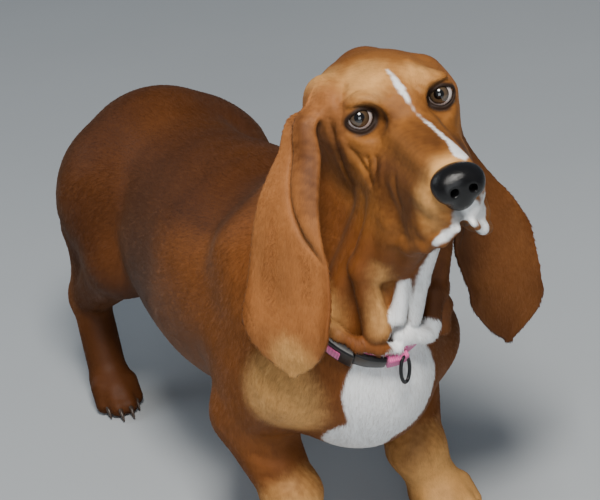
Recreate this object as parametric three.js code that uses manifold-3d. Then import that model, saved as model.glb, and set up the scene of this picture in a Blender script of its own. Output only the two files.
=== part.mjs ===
// A basset hound at life size, standing square with its head up and a webbing collar round its neck.
// Millimetres. The hound faces -Y, its own left is +X, and its paws stand flat on Z = 0.
import * as THREE from "three";
import Module from "manifold-3d";

const wasm = await Module();
wasm.setup();

// Driving dimensions
const withers = 358; // height of the back over the shoulder blades
const croup = 345; // height of the back over the hips
const ribHalfWidth = 116;
const brisket = 118; // clearance under the chest
const bellyClearance = 146;
const chestFront = -322; // Y of the front of the breast
const rumpEnd = 292; // Y of the back of the buttocks
const frontPaw = { x: 82, y: -216, turnOut: 12, width: 66, length: 84 };
const hindPaw = { x: 95, y: 214, turnOut: 6, width: 56, length: 78 };
const elbow = { x: 82, y: -158, z: 150 };
const wrist = { x: 68, y: -196, z: 72 };
const knee = { x: 82, y: 140, z: 202 };
const hock = { x: 88, y: 262, z: 114 };
const tailBase = { y: 262, z: 296, radius: 21 };
const tailLength = 262;
const skullHalfWidth = 56;
const eye = { apart: 72.6, radius: 11.5, low: 2.2 };
const earWidth = 94;
const earThickness = 4.6;
const standing = { x: -20, y: 57 }; // brings the middle of the outline over the origin
const gap = 0.3; // left between neighbouring pieces
const collar = { width: 20, thickness: 2.6, clearance: 1.4 };
const ring = { width: 18, length: 30, wire: 3.4 };

// The head is modelled straight, with its origin midway between the eyes, then carried and turned as one.
const headPlace = new THREE.Vector3(33, -331, 482);
const headTurn = { yaw: -9.7, pitch: -3.8, roll: -3.2 };

const degree = Math.PI / 180;
const headMatrix = new THREE.Matrix4()
  .makeRotationFromEuler(
    new THREE.Euler(headTurn.pitch * degree, headTurn.roll * degree, headTurn.yaw * degree, "ZXY"),
  )
  .setPosition(headPlace);
const onHead = (x, y, z) => new THREE.Vector3(x, y, z).applyMatrix4(headMatrix).toArray();
const headWay = (x, y, z) => new THREE.Vector3(x, y, z).transformDirection(headMatrix).toArray();

// Forms: every part of the body is a blend of tapered limbs and rounded masses.
// A form gives its distance from a point, and how widely it blends into what came before it.
function limb(from, to, startRadius, endRadius, blend) {
  const [ax, ay, az] = from;
  const [dx, dy, dz] = [to[0] - ax, to[1] - ay, to[2] - az];
  const inverse = 1 / (dx * dx + dy * dy + dz * dz || 1);
  const distance = (x, y, z) => {
    const px = x - ax;
    const py = y - ay;
    const pz = z - az;
    const t = Math.min(1, Math.max(0, (px * dx + py * dy + pz * dz) * inverse));
    return Math.hypot(px - t * dx, py - t * dy, pz - t * dz) - startRadius - t * (endRadius - startRadius);
  };
  return { distance, blend };
}

function mass(centre, radii, blend, turn = [0, 0, 0], frame = null) {
  const turned = new THREE.Matrix4().makeRotationFromEuler(
    new THREE.Euler(turn[0] * degree, turn[1] * degree, turn[2] * degree),
  );
  if (frame) turned.premultiply(new THREE.Matrix4().extractRotation(frame));
  const place = frame ? new THREE.Vector3(...centre).applyMatrix4(frame).toArray() : centre;
  const m = turned.elements;
  const [rx, ry, rz] = radii;
  const distance = (x, y, z) => {
    const px = x - place[0];
    const py = y - place[1];
    const pz = z - place[2];
    const u = (px * m[0] + py * m[1] + pz * m[2]) / rx;
    const v = (px * m[4] + py * m[5] + pz * m[6]) / ry;
    const w = (px * m[8] + py * m[9] + pz * m[10]) / rz;
    const k = Math.hypot(u, v, w);
    const slope = Math.hypot(u / rx, v / ry, w / rz);
    return slope < 1e-9 ? -Math.min(rx, ry, rz) : (k * (k - 1)) / slope;
  };
  return { distance, blend };
}

// The same form on both sides of the body, or of the head.
const both = (make) => [make(-1), make(1)];
const headLimb = (from, to, r1, r2, blend) => limb(onHead(...from), onHead(...to), r1, r2, blend);
const headMass = (centre, radii, blend, turn) => mass(centre, radii, blend, turn, headMatrix);

const smoothUnion = (a, b, k) => {
  const h = Math.max(k - Math.abs(a - b), 0) / (k || 1);
  return Math.min(a, b) - h * h * k * 0.25;
};

function blendOf(forms) {
  return (x, y, z) => {
    let d = forms[0].distance(x, y, z);
    for (let i = 1; i < forms.length; i++) {
      d = smoothUnion(d, forms[i].distance(x, y, z), forms[i].blend);
    }
    return d;
  };
}

const carved = (field, tools) => (x, y, z) => {
  let d = field(x, y, z);
  for (const tool of tools) d = -smoothUnion(-d, tool.distance(x, y, z), tool.blend);
  return d;
};

// Trunk, from the breast to the rump
const trunk = [
  mass([0, -80, 240], [ribHalfWidth, 205, 111], 0),
  mass([0, -165, brisket + 72], [72, 130, 72], 30),
  mass([0, -25, brisket + 84], [102, 150, 76], 36),
  mass([0, chestFront + 90, 220], [76, 90, 88], 34),
  mass([0, -182, withers - 46], [46, 84, 46], 40),
  limb([0, -40, 266], [0, 190, croup - 76], 74, 76, 40),
  mass([0, 66, bellyClearance + 78], [96, 146, 78], 36),
  mass([0, 204, croup - 84], [92, rumpEnd - 204, 84], 36),
  ...both((s) => mass([s * 66, 196, 238], [50, 84, 80], 26)),
  ...both((s) => mass([s * 52, 244, 232], [46, 48, 60], 22)),
  ...both((s) => limb([s * 56, -168, 312], [s * 62, -240, 216], 32, 36, 28)),
];

// Legs, above the paws
const foreleg = (s) => [
  limb([s * 62, -236, 214], [s * elbow.x, elbow.y - 4, elbow.z + 6], 37, 36, 24),
  mass([s * 82, -172, 204], [28, 52, 54], 22),
  limb([s * elbow.x, elbow.y, elbow.z], [s * wrist.x, wrist.y, wrist.z], 38, 27, 14),
  mass([s * wrist.x, wrist.y, wrist.z], [29, 29, 27], 10),
  limb([s * wrist.x, wrist.y, wrist.z], [s * (frontPaw.x - 3), frontPaw.y + 12, 30], 27, 26, 10),
];
const hindLeg = (s) => [
  limb([s * 60, 190, 244], [s * knee.x, knee.y, knee.z], 60, 37, 24),
  limb([s * knee.x, knee.y, knee.z], [s * hock.x, hock.y, hock.z], 37, 23, 18),
  limb([s * 76, 236, 200], [s * hock.x, hock.y + 8, hock.z + 14], 34, 14, 20),
  mass([s * hock.x, hock.y + 12, hock.z + 2], [14, 16, 20], 10),
  limb([s * hock.x, hock.y, hock.z - 4], [s * (hindPaw.x - 1), hindPaw.y + 16, 34], 22, 22, 10),
];

// A paw: four toes in a row, the middle two ahead, round a pad that stands on the floor
const toeRows = [
  { across: -1, ahead: 0.62 },
  { across: -0.36, ahead: 1 },
  { across: 0.36, ahead: 1 },
  { across: 1, ahead: 0.62 },
];
const toeRadius = 11.5;
const clawLength = 7;
function pawPoint(paw, side, across, forward, z) {
  const turn = side * paw.turnOut * degree;
  const x = across * Math.cos(turn) + forward * Math.sin(turn);
  const y = across * Math.sin(turn) - forward * Math.cos(turn);
  return [side * paw.x + x, paw.y + y, z];
}
function pawForms(paw, side) {
  const halfWidth = paw.width / 2;
  const reach = paw.length / 2;
  const toes = toeRows.map(({ across, ahead }) =>
    limb(
      pawPoint(paw, side, across * (halfWidth - 14), 2, 26),
      pawPoint(paw, side, across * (halfWidth - toeRadius), ahead * reach - toeRadius, toeRadius - 0.5),
      13.5,
      toeRadius,
      5,
    ),
  );
  const turn = [0, 0, side * paw.turnOut];
  return [
    mass(pawPoint(paw, side, 0, -4, 20), [halfWidth - 3, reach - 8, 24], 12, turn),
    mass(pawPoint(paw, side, 0, -14, 10), [halfWidth - 9, 20, 13], 8, turn),
    ...toes,
  ];
}

// Tail, hanging down behind the rump with its tip turned a little out
const tailShape = (t) => [
  12 * t * t,
  tailBase.y + 62 * Math.sin(Math.min(1, t * 2.2) * 90 * degree) + 26 * t * t,
  tailBase.z - tailLength * 0.92 * t ** 1.35,
];
const tailSteps = 8;
const tail = Array.from({ length: tailSteps }, (_, i) => {
  const radiusAt = (t) => tailBase.radius * (1 - 0.76 * t);
  const [t0, t1] = [i / tailSteps, (i + 1) / tailSteps];
  return limb(tailShape(t0), tailShape(t1), radiusAt(t0), radiusAt(t1), i ? 8 : 20);
});

// Neck, from the shoulders to the skull, with the loose skin of the throat in folds over it
const neckCore = [
  limb([0, -190, 288], onHead(0, 74, -26), 80, 46, 46),
  limb([0, -258, 244], onHead(0, 20, -62), 58, 36, 34),
  limb([0, -176, 326], onHead(0, 92, -6), 34, 26, 34),
];
const throatFolds = [
  limb(onHead(0, -20, -84), [4, -300, 286], 24, 32, 18),
  limb([24, -374, 371], [17, -357, 332], 9, 9, 4),
  limb([17, -357, 332], [13, -343, 290], 9, 8, 4),
  limb([6, -352, 341], [-3, -344, 298], 6, 9, 4),
  limb(onHead(-34, -24, -62), [-25, -332, 348], 12, 12, 12),
  limb([-25, -332, 348], [-21, -337, 289], 12, 14, 8),
  limb(onHead(-38, 12, -80), [-46, -290, 288], 13, 15, 12),
  limb(onHead(34, 14, -78), [46, -334, 306], 11, 8, 8),
  limb([46, -334, 306], [50, -326, 284], 8, 9, 8),
  limb([50, -326, 284], [51, -320, 260], 9, 9, 8),
  limb([40, -335, 306], [33, -336, 275], 9, 9.5, 5),
  limb(onHead(-34, -38, -86), [-10, -344, 346], 15, 10, 14),
  limb(onHead(-20, -70, -88), [4, -356, 350], 12, 9, 12),
  limb([-63, -290, 310], [-58, -306, 300], 6, 6.5, 8),
  limb([-58, -306, 300], [-50, -319, 288], 6.5, 6.5, 8),
  limb([-50, -319, 288], [-38, -331, 277], 6.5, 6.5, 8),
  limb([-38, -331, 277], [-22, -339, 271], 6.5, 6.5, 8),
  limb([-22, -339, 271], [-6, -343, 268], 6.5, 6, 6),
  limb(onHead(38, 14, -76), [52, -288, 284], 13, 14, 12),
  mass([5, -338, 276], [13, 12, 12], 5),
  mass([20, -338, 271], [18, 12, 11], 5, [0, 20, 4]),
];

// Head
const headForms = [
  headMass([-6, 52, -2], [skullHalfWidth, 72, 36], 0),
  headMass([0, 20, 0], [39, 37, 27], 16),
  headMass([0, 110, 4], [18, 20, 18], 20),
  ...both((s) => headMass([s * 40 - 3, 50, -8], [18, 34, 22], 16)),
  headMass([-53, 46, 0], [20, 32, 29], 14),
  ...both((s) => headMass([s * 30, 5, 14], [17, 13, 8], 8, [0, s * 10, 0])),
  ...both((s) => headLimb([s * 33 - 1, 0, -20], [s * 48 - 2, 44, -14], 10, 13, 12)),
  ...both((s) => headMass([s * 36 - 1, 42, -36], [23, 46, 38], 18)),
  ...both((s) => headLimb([s * 42 - 2, 52, 4], [s * 54 - 3, 40, -12], 13, 8, 12)),
  headLimb([0, 0, -22], [0, -104, -32], 22, 17, 18),
  ...both((s) => headLimb([s * 11, -10, -20], [s * 8, -104, -28], 14, 12, 10)),
  ...both((s) => headLimb([s * 18, -10, -50], [s * 9, -100, -50], 26, 20, 12)),
  ...both((s) => headMass([s * 24, -54, -78], [13, 44, 27], 10, [0, s * 5, 0])),
  ...both((s) => headMass([s * 33, -8, -78], [15, 36, 30], 14)),
  ...both((s) => headLimb([s * 8, -108, -62], [s * 19, -88, -78], 12, 12, 6)),
  headMass([0, 8, -62], [40, 52, 32], 20),
];
const lipLine = (s) => [
  [s * 6, -119, -74],
  [s * 18, -104, -86],
  [s * 27, -84, -95],
  [s * 34, -58, -102],
  [s * 40, -30, -98],
];
const lips = both(lipLine).flatMap((line) =>
  line.slice(1).map((to, n) => headLimb(line[n], to, 4.6, 4.8, 8)),
);
const orbits = both((s) => headMass([(s * eye.apart) / 2, -9, -0.5 - eye.low], [17, 15, 13], 6));
const mouth = [
  headLimb([0, -124, -78], [0, -40, -88], 5, 12, 6),
  headLimb([0, -122, -60], [0, -124, -78], 1, 4, 5),
];
const jawForms = [
  headMass([0, -78, -80], [17, 26, 12], 0),
  headLimb([0, -60, -82], [0, -12, -84], 14, 17, 8),
];
const noseForms = [
  headMass([0, -120, -32], [22, 16, 14], 0),
  headMass([0, -117, -42], [15, 15, 17], 8),
  ...both((s) => headMass([s * 12, -123, -37], [9, 11, 10], 6)),
];

const bodyForms = [...trunk, ...both((s) => [...foreleg(s), ...hindLeg(s)]).flat()];
const pawsAll = [frontPaw, hindPaw].flatMap((paw) => both((s) => pawForms(paw, s)).flat());
const hound = carved(
  blendOf([...bodyForms, ...pawsAll, ...tail, ...neckCore, ...headForms, ...lips, ...throatFolds]),
  [...mouth, ...orbits],
);
const jaw = blendOf(jawForms);
const nose = blendOf(noseForms);
const neckField = blendOf([...bodyForms, ...neckCore]);
const swollen = (field, by) => (x, y, z) => field(x, y, z) - by;

// Skinning: a grid of cells is laid over the field. Each cell that the surface crosses gets one point for
// each sheet of surface in it, and each grid line that crosses the surface gives one four-sided face.
const corners = [0, 1, 2, 3, 4, 5, 6, 7].map((i) => [i & 1, (i >> 1) & 1, i >> 2]);
const edges = [0, 1, 2].flatMap((axis) =>
  [0, 1, 2, 3, 4, 5, 6, 7].filter((i) => !((i >> axis) & 1)).map((i) => [i, i | (1 << axis), axis]),
);
const cellFaces = [0, 1, 2].flatMap((axis) =>
  [0, 1].map((end) => {
    const onFace = (i) => ((i >> axis) & 1) === end;
    return edges.map((_, n) => n).filter((n) => onFace(edges[n][0]) && onFace(edges[n][1]));
  }),
);

// For the signs at a cell's corners, which sheet each crossed edge belongs to.
const sheetCache = new Map();
function sheetsOf(signs) {
  if (sheetCache.has(signs)) return sheetCache.get(signs);
  const inside = (i) => (signs >> i) & 1;
  const sheet = edges.map(([a, b], n) => (inside(a) !== inside(b) ? n : -1));
  const join = (p, q) => {
    const [from, to] = [sheet[p], sheet[q]];
    for (let n = 0; n < 12; n++) if (sheet[n] === from) sheet[n] = to;
  };
  for (const face of cellFaces) {
    const crossed = face.filter((n) => sheet[n] >= 0);
    if (crossed.length === 2) join(crossed[0], crossed[1]);
    if (crossed.length === 4) {
      for (const corner of new Set(crossed.flatMap((n) => edges[n].slice(0, 2)))) {
        const near = crossed.filter((n) => edges[n][0] === corner || edges[n][1] === corner);
        if (inside(corner)) join(near[0], near[1]);
      }
    }
  }
  sheetCache.set(signs, sheet);
  return sheet;
}

// A plane is kept as its normal and how far it lies along it; the kept side is behind it.
function plane(point, normal, shift = 0) {
  const n = new THREE.Vector3(...normal).normalize();
  return { normal: n.toArray(), offset: n.dot(new THREE.Vector3(...point)) + shift };
}
const turned = (cut) => ({ normal: cut.normal.map((n) => -n), offset: -cut.offset });
const shifted = (cut, shift) => ({ normal: cut.normal, offset: cut.offset + shift });
const heightOver = (cut, x, y, z) => cut.normal[0] * x + cut.normal[1] * y + cut.normal[2] * z - cut.offset;

// The skin of a field on the kept side of every plane, flat and sharp-edged where a plane cuts it.
function skinOf(field, planes, low, high, cell) {
  const limits = [
    ...planes,
    ...[0, 1, 2].flatMap((axis) =>
      [-1, 1].map((end) => {
        const point = end < 0 ? low : high;
        const normal = [0, 0, 0].map((_, n) => (n === axis ? end : 0));
        return plane(point, normal, -1.01 * cell);
      }),
    ),
  ];
  const within = (x, y, z) => {
    let d = -1e9;
    for (const limit of limits) d = Math.max(d, heightOver(limit, x, y, z));
    return d;
  };
  const [nx, ny, nz] = low.map((l, i) => Math.ceil((high[i] - l) / cell) + 1);
  const at = (i, j, k) => i + nx * (j + ny * k);
  const place = (i, j, k) => [low[0] + i * cell, low[1] + j * cell, low[2] + k * cell];
  const value = new Float32Array(nx * ny * nz);
  const block = 4;
  const reach = block * cell * 1.5;
  for (let k = 0; k < nz; k += block) {
    for (let j = 0; j < ny; j += block) {
      for (let i = 0; i < nx; i += block) {
        const middle = place(i + block / 2, j + block / 2, k + block / 2);
        const rough = field(...middle);
        const outside = within(...middle);
        const far = Math.abs(rough) > reach || outside > reach;
        for (let c = k; c < Math.min(nz, k + block); c++) {
          for (let b = j; b < Math.min(ny, j + block); b++) {
            for (let a = i; a < Math.min(nx, i + block); a++) {
              const point = place(a, b, c);
              const inner = far ? rough : field(...point);
              value[at(a, b, c)] = Math.max(inner, within(...point));
            }
          }
        }
      }
    }
  }
  const points = [];
  const cellPoints = new Map();
  for (let k = 0; k < nz - 1; k++) {
    for (let j = 0; j < ny - 1; j++) {
      for (let i = 0; i < nx - 1; i++) {
        const around = corners.map(([a, b, c]) => value[at(i + a, j + b, k + c)]);
        const signs = around.reduce((bits, v, n) => bits | (v < 0 ? 1 << n : 0), 0);
        if (signs === 0 || signs === 255) continue;
        const sheet = sheetsOf(signs);
        const own = {};
        for (const id of new Set(sheet.filter((s) => s >= 0))) {
          const crossings = edges
            .filter((_, n) => sheet[n] === id)
            .map(([p, q]) => {
              const t = around[p] / (around[p] - around[q]);
              return [i, j, k].map(
                (n, axis) =>
                  low[axis] + (n + corners[p][axis] + t * (corners[q][axis] - corners[p][axis])) * cell,
              );
            });
          own[id] = points.length;
          points.push(settled(field, limits, crossings, cell));
        }
        cellPoints.set(
          at(i, j, k),
          sheet.map((s) => own[s]),
        );
      }
    }
  }
  const triangles = [];
  const step = [1, nx, nx * ny];
  const ring = [
    [0, 0],
    [1, 0],
    [1, 1],
    [0, 1],
  ];
  for (let k = 1; k < nz - 1; k++) {
    for (let j = 1; j < ny - 1; j++) {
      for (let i = 1; i < nx - 1; i++) {
        const here = at(i, j, k);
        for (let axis = 0; axis < 3; axis++) {
          const [starts, ends] = [value[here] < 0, value[here + step[axis]] < 0];
          if (starts === ends) continue;
          const [u, v] = [(axis + 1) % 3, (axis + 2) % 3];
          const quad = ring.map(([du, dv]) => {
            const corner = (du << u) | (dv << v);
            const edge = edges.findIndex((e) => e[0] === corner && e[2] === axis);
            return cellPoints.get(here - du * step[u] - dv * step[v])[edge];
          });
          if (!starts) quad.reverse();
          const span = (p, q) => points[p].reduce((s, x, n) => s + (x - points[q][n]) ** 2, 0);
          const [p, q, r, s] = quad;
          if (span(p, r) < span(q, s)) triangles.push(p, q, r, p, r, s);
          else triangles.push(p, q, s, q, r, s);
        }
      }
    }
  }
  return solid(points, thinned(points, triangles, cell * 0.06));
}

// The point of one sheet in a cell: on the skin, and on every plane that the sheet meets there.
function settled(field, limits, crossings, cell) {
  const met = new Set();
  let onSkin = false;
  for (const [x, y, z] of crossings) {
    const heights = limits.map((limit) => heightOver(limit, x, y, z));
    const highest = heights.indexOf(Math.max(...heights));
    if (field(x, y, z) > heights[highest]) onSkin = true;
    else met.add(limits[highest]);
  }
  const p = [0, 1, 2].map((axis) => crossings.reduce((s, c) => s + c[axis], 0) / crossings.length);
  const e = 0.4;
  const onto = (limit) => {
    const h = heightOver(limit, ...p);
    for (let axis = 0; axis < 3; axis++) p[axis] -= h * limit.normal[axis];
  };
  for (let turn = 0; turn < (met.size ? 10 : 4); turn++) {
    if (onSkin) {
      const [x, y, z] = p;
      const slope = [
        field(x + e, y, z) - field(x - e, y, z),
        field(x, y + e, z) - field(x, y - e, z),
        field(x, y, z + e) - field(x, y, z - e),
      ].map((s) => s / (2 * e));
      const steep = Math.hypot(...slope);
      const move = Math.max(-cell * 0.4, Math.min(cell * 0.4, field(x, y, z) / Math.max(steep, 0.2)));
      for (let axis = 0; axis < 3; axis++) p[axis] -= (move * slope[axis]) / Math.max(steep, 0.2);
    }
    for (const limit of met) onto(limit);
  }
  for (const limit of limits) if (heightOver(limit, ...p) > 0) onto(limit);
  return p;
}

// Thins out a skin: a point is merged into a neighbour wherever that moves the skin by less than the
// tolerance, so flat places are left with few triangles and folds keep theirs.
function thinned(points, triangles, tolerance) {
  const faces = [];
  for (let n = 0; n < triangles.length; n += 3) faces.push(triangles.slice(n, n + 3));
  const around = points.map(() => new Set());
  faces.forEach((face, n) => face.forEach((p) => around[p].add(n)));
  const vector = (p) => new THREE.Vector3(...points[p]);
  const normalOf = ([a, b, c]) => vector(b).sub(vector(a)).cross(vector(c).sub(vector(a)));
  const planes = points.map(() => []);
  for (const face of faces) {
    const normal = normalOf(face).normalize();
    const entry = [...normal.toArray(), -normal.dot(vector(face[0]))];
    for (const p of face) planes[p].push(entry);
  }
  const forms = planes.map((list) => {
    const sum = new Array(10).fill(0);
    for (const q of list) {
      let slot = 0;
      for (let i = 0; i < 4; i++) for (let j = i; j < 4; j++) sum[slot++] += q[i] * q[j];
    }
    return sum;
  });
  const errorOf = (form, [x, y, z]) => {
    const v = [x, y, z, 1];
    let sum = 0;
    let slot = 0;
    for (let i = 0; i < 4; i++) {
      for (let j = i; j < 4; j++) sum += form[slot++] * v[i] * v[j] * (i === j ? 1 : 2);
    }
    return sum;
  };
  const neighbours = (p) => new Set([...around[p]].flatMap((n) => faces[n]).filter((q) => q !== p));
  const evenness = (face) => {
    const [a, b, c] = face.map(vector);
    const longest = Math.max(a.distanceToSquared(b), b.distanceToSquared(c), c.distanceToSquared(a));
    return normalOf(face).length() / longest;
  };
  let merging = true;
  while (merging) {
    merging = false;
    const options = [];
    faces.forEach((face) => {
      if (!face) return;
      for (let i = 0; i < 3; i++) {
        for (const [u, v] of [
          [face[i], face[(i + 1) % 3]],
          [face[(i + 1) % 3], face[i]],
        ]) {
          const error = errorOf(forms[u], points[v]);
          if (error < tolerance ** 2) options.push([error, u, v]);
        }
      }
    });
    options.sort((a, b) => a[0] - b[0]);
    const touched = new Set();
    for (const [, u, v] of options) {
      if (touched.has(u) || touched.has(v)) continue;
      const near = neighbours(u);
      const shared = [...neighbours(v)].filter((p) => near.has(p));
      if (shared.length !== 2 || neighbours(shared[0]).size < 4 || neighbours(shared[1]).size < 4) continue;
      const moved = [...around[u]].filter((n) => !faces[n].includes(v));
      const bad = moved.some((n) => {
        const next = faces[n].map((p) => (p === u ? v : p));
        const [before, after] = [normalOf(faces[n]).normalize(), normalOf(next).normalize()];
        return before.dot(after) < 0.75 || evenness(next) < Math.min(0.22, evenness(faces[n]) * 0.8);
      });
      if (bad) continue;
      for (const n of [...around[u]]) {
        if (faces[n].includes(v)) {
          for (const p of faces[n]) around[p].delete(n);
          faces[n] = null;
        } else {
          faces[n] = faces[n].map((p) => (p === u ? v : p));
          around[v].add(n);
        }
      }
      around[u].clear();
      forms[v] = forms[v].map((x, i) => x + forms[u][i]);
      for (const p of [...near, u, v]) touched.add(p);
      merging = true;
    }
  }
  return faces.filter(Boolean).flat();
}

// Points and triangles to a solid. Points closer than the weld are made one, and what folds flat is dropped.
const weld = 0.02;
function solid(points, triangles) {
  const seen = new Map();
  const index = points.map((p) => {
    const key = p.map((x) => Math.round(x / weld)).join();
    if (!seen.has(key)) seen.set(key, seen.size);
    return seen.get(key);
  });
  const vertices = new Float32Array(seen.size * 3);
  points.forEach((p, n) => vertices.set(p, index[n] * 3));
  const kept = [];
  for (let n = 0; n < triangles.length; n += 3) {
    const [a, b, c] = triangles.slice(n, n + 3).map((i) => index[i]);
    if (a !== b && b !== c && c !== a) kept.push(a, b, c);
  }
  return new wasm.Manifold(
    new wasm.Mesh({ numProp: 3, vertProperties: vertices, triVerts: new Uint32Array(kept) }),
  );
}

// The largest body of a solid as a geometry
function geometryOf(made) {
  const bodies = made.decompose();
  const mesh = bodies.reduce((a, b) => (b.volume() > a.volume() ? b : a)).getMesh();
  const geometry = new THREE.BufferGeometry();
  geometry.setAttribute("position", new THREE.BufferAttribute(new Float32Array(mesh.vertProperties), 3));
  geometry.setIndex(new THREE.BufferAttribute(new Uint32Array(mesh.triVerts), 1));
  geometry.computeVertexNormals();
  return geometry;
}

// A solid through a row of rings of points, each ring turning the same way; the last joins the first if closed.
function loft(rings, closed = false) {
  const size = rings[0].length;
  const points = rings.flat();
  const triangles = [];
  const last = closed ? rings.length : rings.length - 1;
  for (let r = 0; r < last; r++) {
    const next = (r + 1) % rings.length;
    for (let n = 0; n < size; n++) {
      const [a, b] = [r * size + n, r * size + ((n + 1) % size)];
      const [c, d] = [next * size + n, next * size + ((n + 1) % size)];
      triangles.push(a, b, d, a, d, c);
    }
  }
  if (!closed) {
    for (const [r, flip] of [
      [0, true],
      [rings.length - 1, false],
    ]) {
      const middle = [0, 1, 2].map((axis) => rings[r].reduce((s, p) => s + p[axis], 0) / size);
      points.push(middle);
      for (let n = 0; n < size; n++) {
        const [a, b] = [r * size + n, r * size + ((n + 1) % size)];
        triangles.push(...(flip ? [b, a, points.length - 1] : [a, b, points.length - 1]));
      }
    }
  }
  const made = solid(points, triangles);
  return made.volume() < 0 ? solid(points, triangles.reverse()) : made;
}

// A round limb of few sides along a path, for claws, rims and lids
function stalk(path, radiusAt, sides) {
  const curve = new THREE.CatmullRomCurve3(path.map((p) => new THREE.Vector3(...p)));
  const steps = path.length * 2 - 1;
  const frames = curve.computeFrenetFrames(steps, false);
  const rings = [];
  for (let n = 0; n <= steps; n++) {
    const centre = curve.getPointAt(n / steps);
    const radius = radiusAt(n / steps);
    rings.push(
      Array.from({ length: sides }, (_, i) => {
        const turn = (i / sides) * 2 * Math.PI;
        return centre
          .clone()
          .addScaledVector(frames.normals[n], radius * Math.cos(turn))
          .addScaledVector(frames.binormals[n], radius * Math.sin(turn))
          .toArray();
      }),
    );
  }
  return loft(rings);
}

// Where the body is parted
const cuts = {
  floor: plane([0, 0, 0], [0, 0, -1]),
  muzzleFromFace: plane(onHead(0, -36, 0), headWay(0, -1, 0.1)),
  headFromNeck: plane(onHead(0, 6, -98), headWay(0, 0.55, -0.835)),
  neckFromChest: plane([0, -312, 226], [0, -0.66, 0.75]),
  loinFromChest: plane([0, -58, 0], [0, 1, 0]),
  rumpFromLoin: plane([0, 96, 0], [0, 1, 0]),
  dewlapFromNeck: plane([0, -316, 300], [-0.12, -0.99, 0.02]),
  tailFromRump: plane([0, rumpEnd + 3, 0], [0, 1, 0]),
};
const foreCut = (s) => plane([s * 46, 0, 104], [s * 0.63, 0, -0.776]);
const hindCut = (s) => plane([s * 30, 0, 146], [s * 0.84, 0, -0.54]);
const midline = (s) => plane([0, 0, 0], [-s, 0, 0]);
const pawCut = (paw) => plane([0, paw.y, 46], [0, 0.12, -1]);

const half = gap / 2;
const behind = (...list) => list.map((cut) => shifted(cut, -half));
const ahead = (...list) => list.map((cut) => shifted(turned(cut), -half));

const pieces = [];
const add = (name, made, material) => pieces.push({ name, made, material });

const coat = new THREE.MeshStandardMaterial({ color: 0x9c5a2c, roughness: 0.75 });
const paleCoat = new THREE.MeshStandardMaterial({ color: 0xb97a45, roughness: 0.75 });
const earCoat = new THREE.MeshStandardMaterial({ color: 0x96552d, roughness: 0.75 });
const pad = new THREE.MeshStandardMaterial({ color: 0x17171a, roughness: 0.35 });
const eyeball = new THREE.MeshStandardMaterial({ color: 0x4a2f18, roughness: 0.1 });
const webbing = new THREE.MeshStandardMaterial({ color: 0xe36aa0, roughness: 0.8 });
const plastic = new THREE.MeshStandardMaterial({ color: 0x141416, roughness: 0.4 });

// Trunk and tail
const trunkLow = [-165, -390, 60];
const trunkHigh = [165, 360, 410];
add(
  "chest",
  skinOf(
    hound,
    [...behind(cuts.neckFromChest, cuts.loinFromChest, foreCut(-1), foreCut(1))],
    trunkLow,
    [trunkHigh[0], -30, trunkHigh[2]],
    21,
  ),
  coat,
);
add(
  "loin",
  skinOf(
    hound,
    [...ahead(cuts.loinFromChest), ...behind(cuts.rumpFromLoin)],
    [trunkLow[0], -90, trunkLow[2]],
    [trunkHigh[0], 130, trunkHigh[2]],
    22,
  ),
  coat,
);
add(
  "rump",
  skinOf(
    hound,
    [...ahead(cuts.rumpFromLoin), ...behind(cuts.tailFromRump, hindCut(-1), hindCut(1))],
    [trunkLow[0], 60, trunkLow[2]],
    trunkHigh,
    20,
  ),
  coat,
);
add("tail", skinOf(hound, ahead(cuts.tailFromRump), [-45, 250, 40], [55, 420, 370], 9.5), coat);

// Legs and paws, each paw with four claws
function claws(paw, side) {
  return toeRows.map(({ across, ahead: lead }) => {
    const out = across * (paw.width / 2 - toeRadius);
    const tip = lead * (paw.length / 2) + clawLength;
    const at = (forward, z) => pawPoint(paw, side, out, forward, z);
    return stalk(
      [at(tip - 19, 12), at(tip - 8, 11), at(tip - 2, 6), at(tip, 1.6)],
      (t) => 3.6 - 2.6 * t,
      6,
    );
  });
}
const sideNames = { "-1": "right", 1: "left" };
for (const s of [-1, 1]) {
  const across = s < 0 ? [-165, 10] : [-10, 165];
  for (const [which, paw, cut, borders, y] of [
    ["front", frontPaw, foreCut(s), behind(cuts.loinFromChest), [-330, -20]],
    ["hind", hindPaw, hindCut(s), [...ahead(cuts.rumpFromLoin), ...behind(cuts.tailFromRump)], [60, 345]],
  ]) {
    const own = [...ahead(cut), ...borders, midline(s)];
    const low = [across[0], y[0], -20];
    const high = [across[1], y[1], 330];
    add(
      `leg_${which}_${sideNames[s]}`,
      skinOf(hound, [...own, ...behind(pawCut(paw))], low, high, 13),
      coat,
    );
    const foot = skinOf(
      hound,
      [...ahead(pawCut(paw)), cuts.floor, midline(s)],
      low,
      [high[0], high[1], 80],
      10.7,
    );
    add(
      `paw_${which}_${sideNames[s]}`,
      claws(paw, s).reduce((made, claw) => made.add(claw), foot),
      paleCoat,
    );
  }
}

// Collar: a flat band of webbing round the neck, with its fastening on the right of the throat.
// Bearings run round the neck from the front of the throat towards the hound's left.
function collarFrame() {
  const normal = new THREE.Vector3(-0.11, -0.7, 0.705).normalize();
  const back = new THREE.Vector3().crossVectors(normal, new THREE.Vector3(1, 0, -0.02)).normalize();
  const left = new THREE.Vector3().crossVectors(back, normal);
  return { centre: new THREE.Vector3(-4, -266, 326), normal, left, back };
}
function collarPoint(bearing, radius, lift) {
  const { centre, normal, left, back } = collarFrame();
  return centre
    .clone()
    .addScaledVector(left, radius * Math.sin(bearing))
    .addScaledVector(back, -radius * Math.cos(bearing))
    .addScaledVector(normal, lift)
    .toArray();
}
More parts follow.
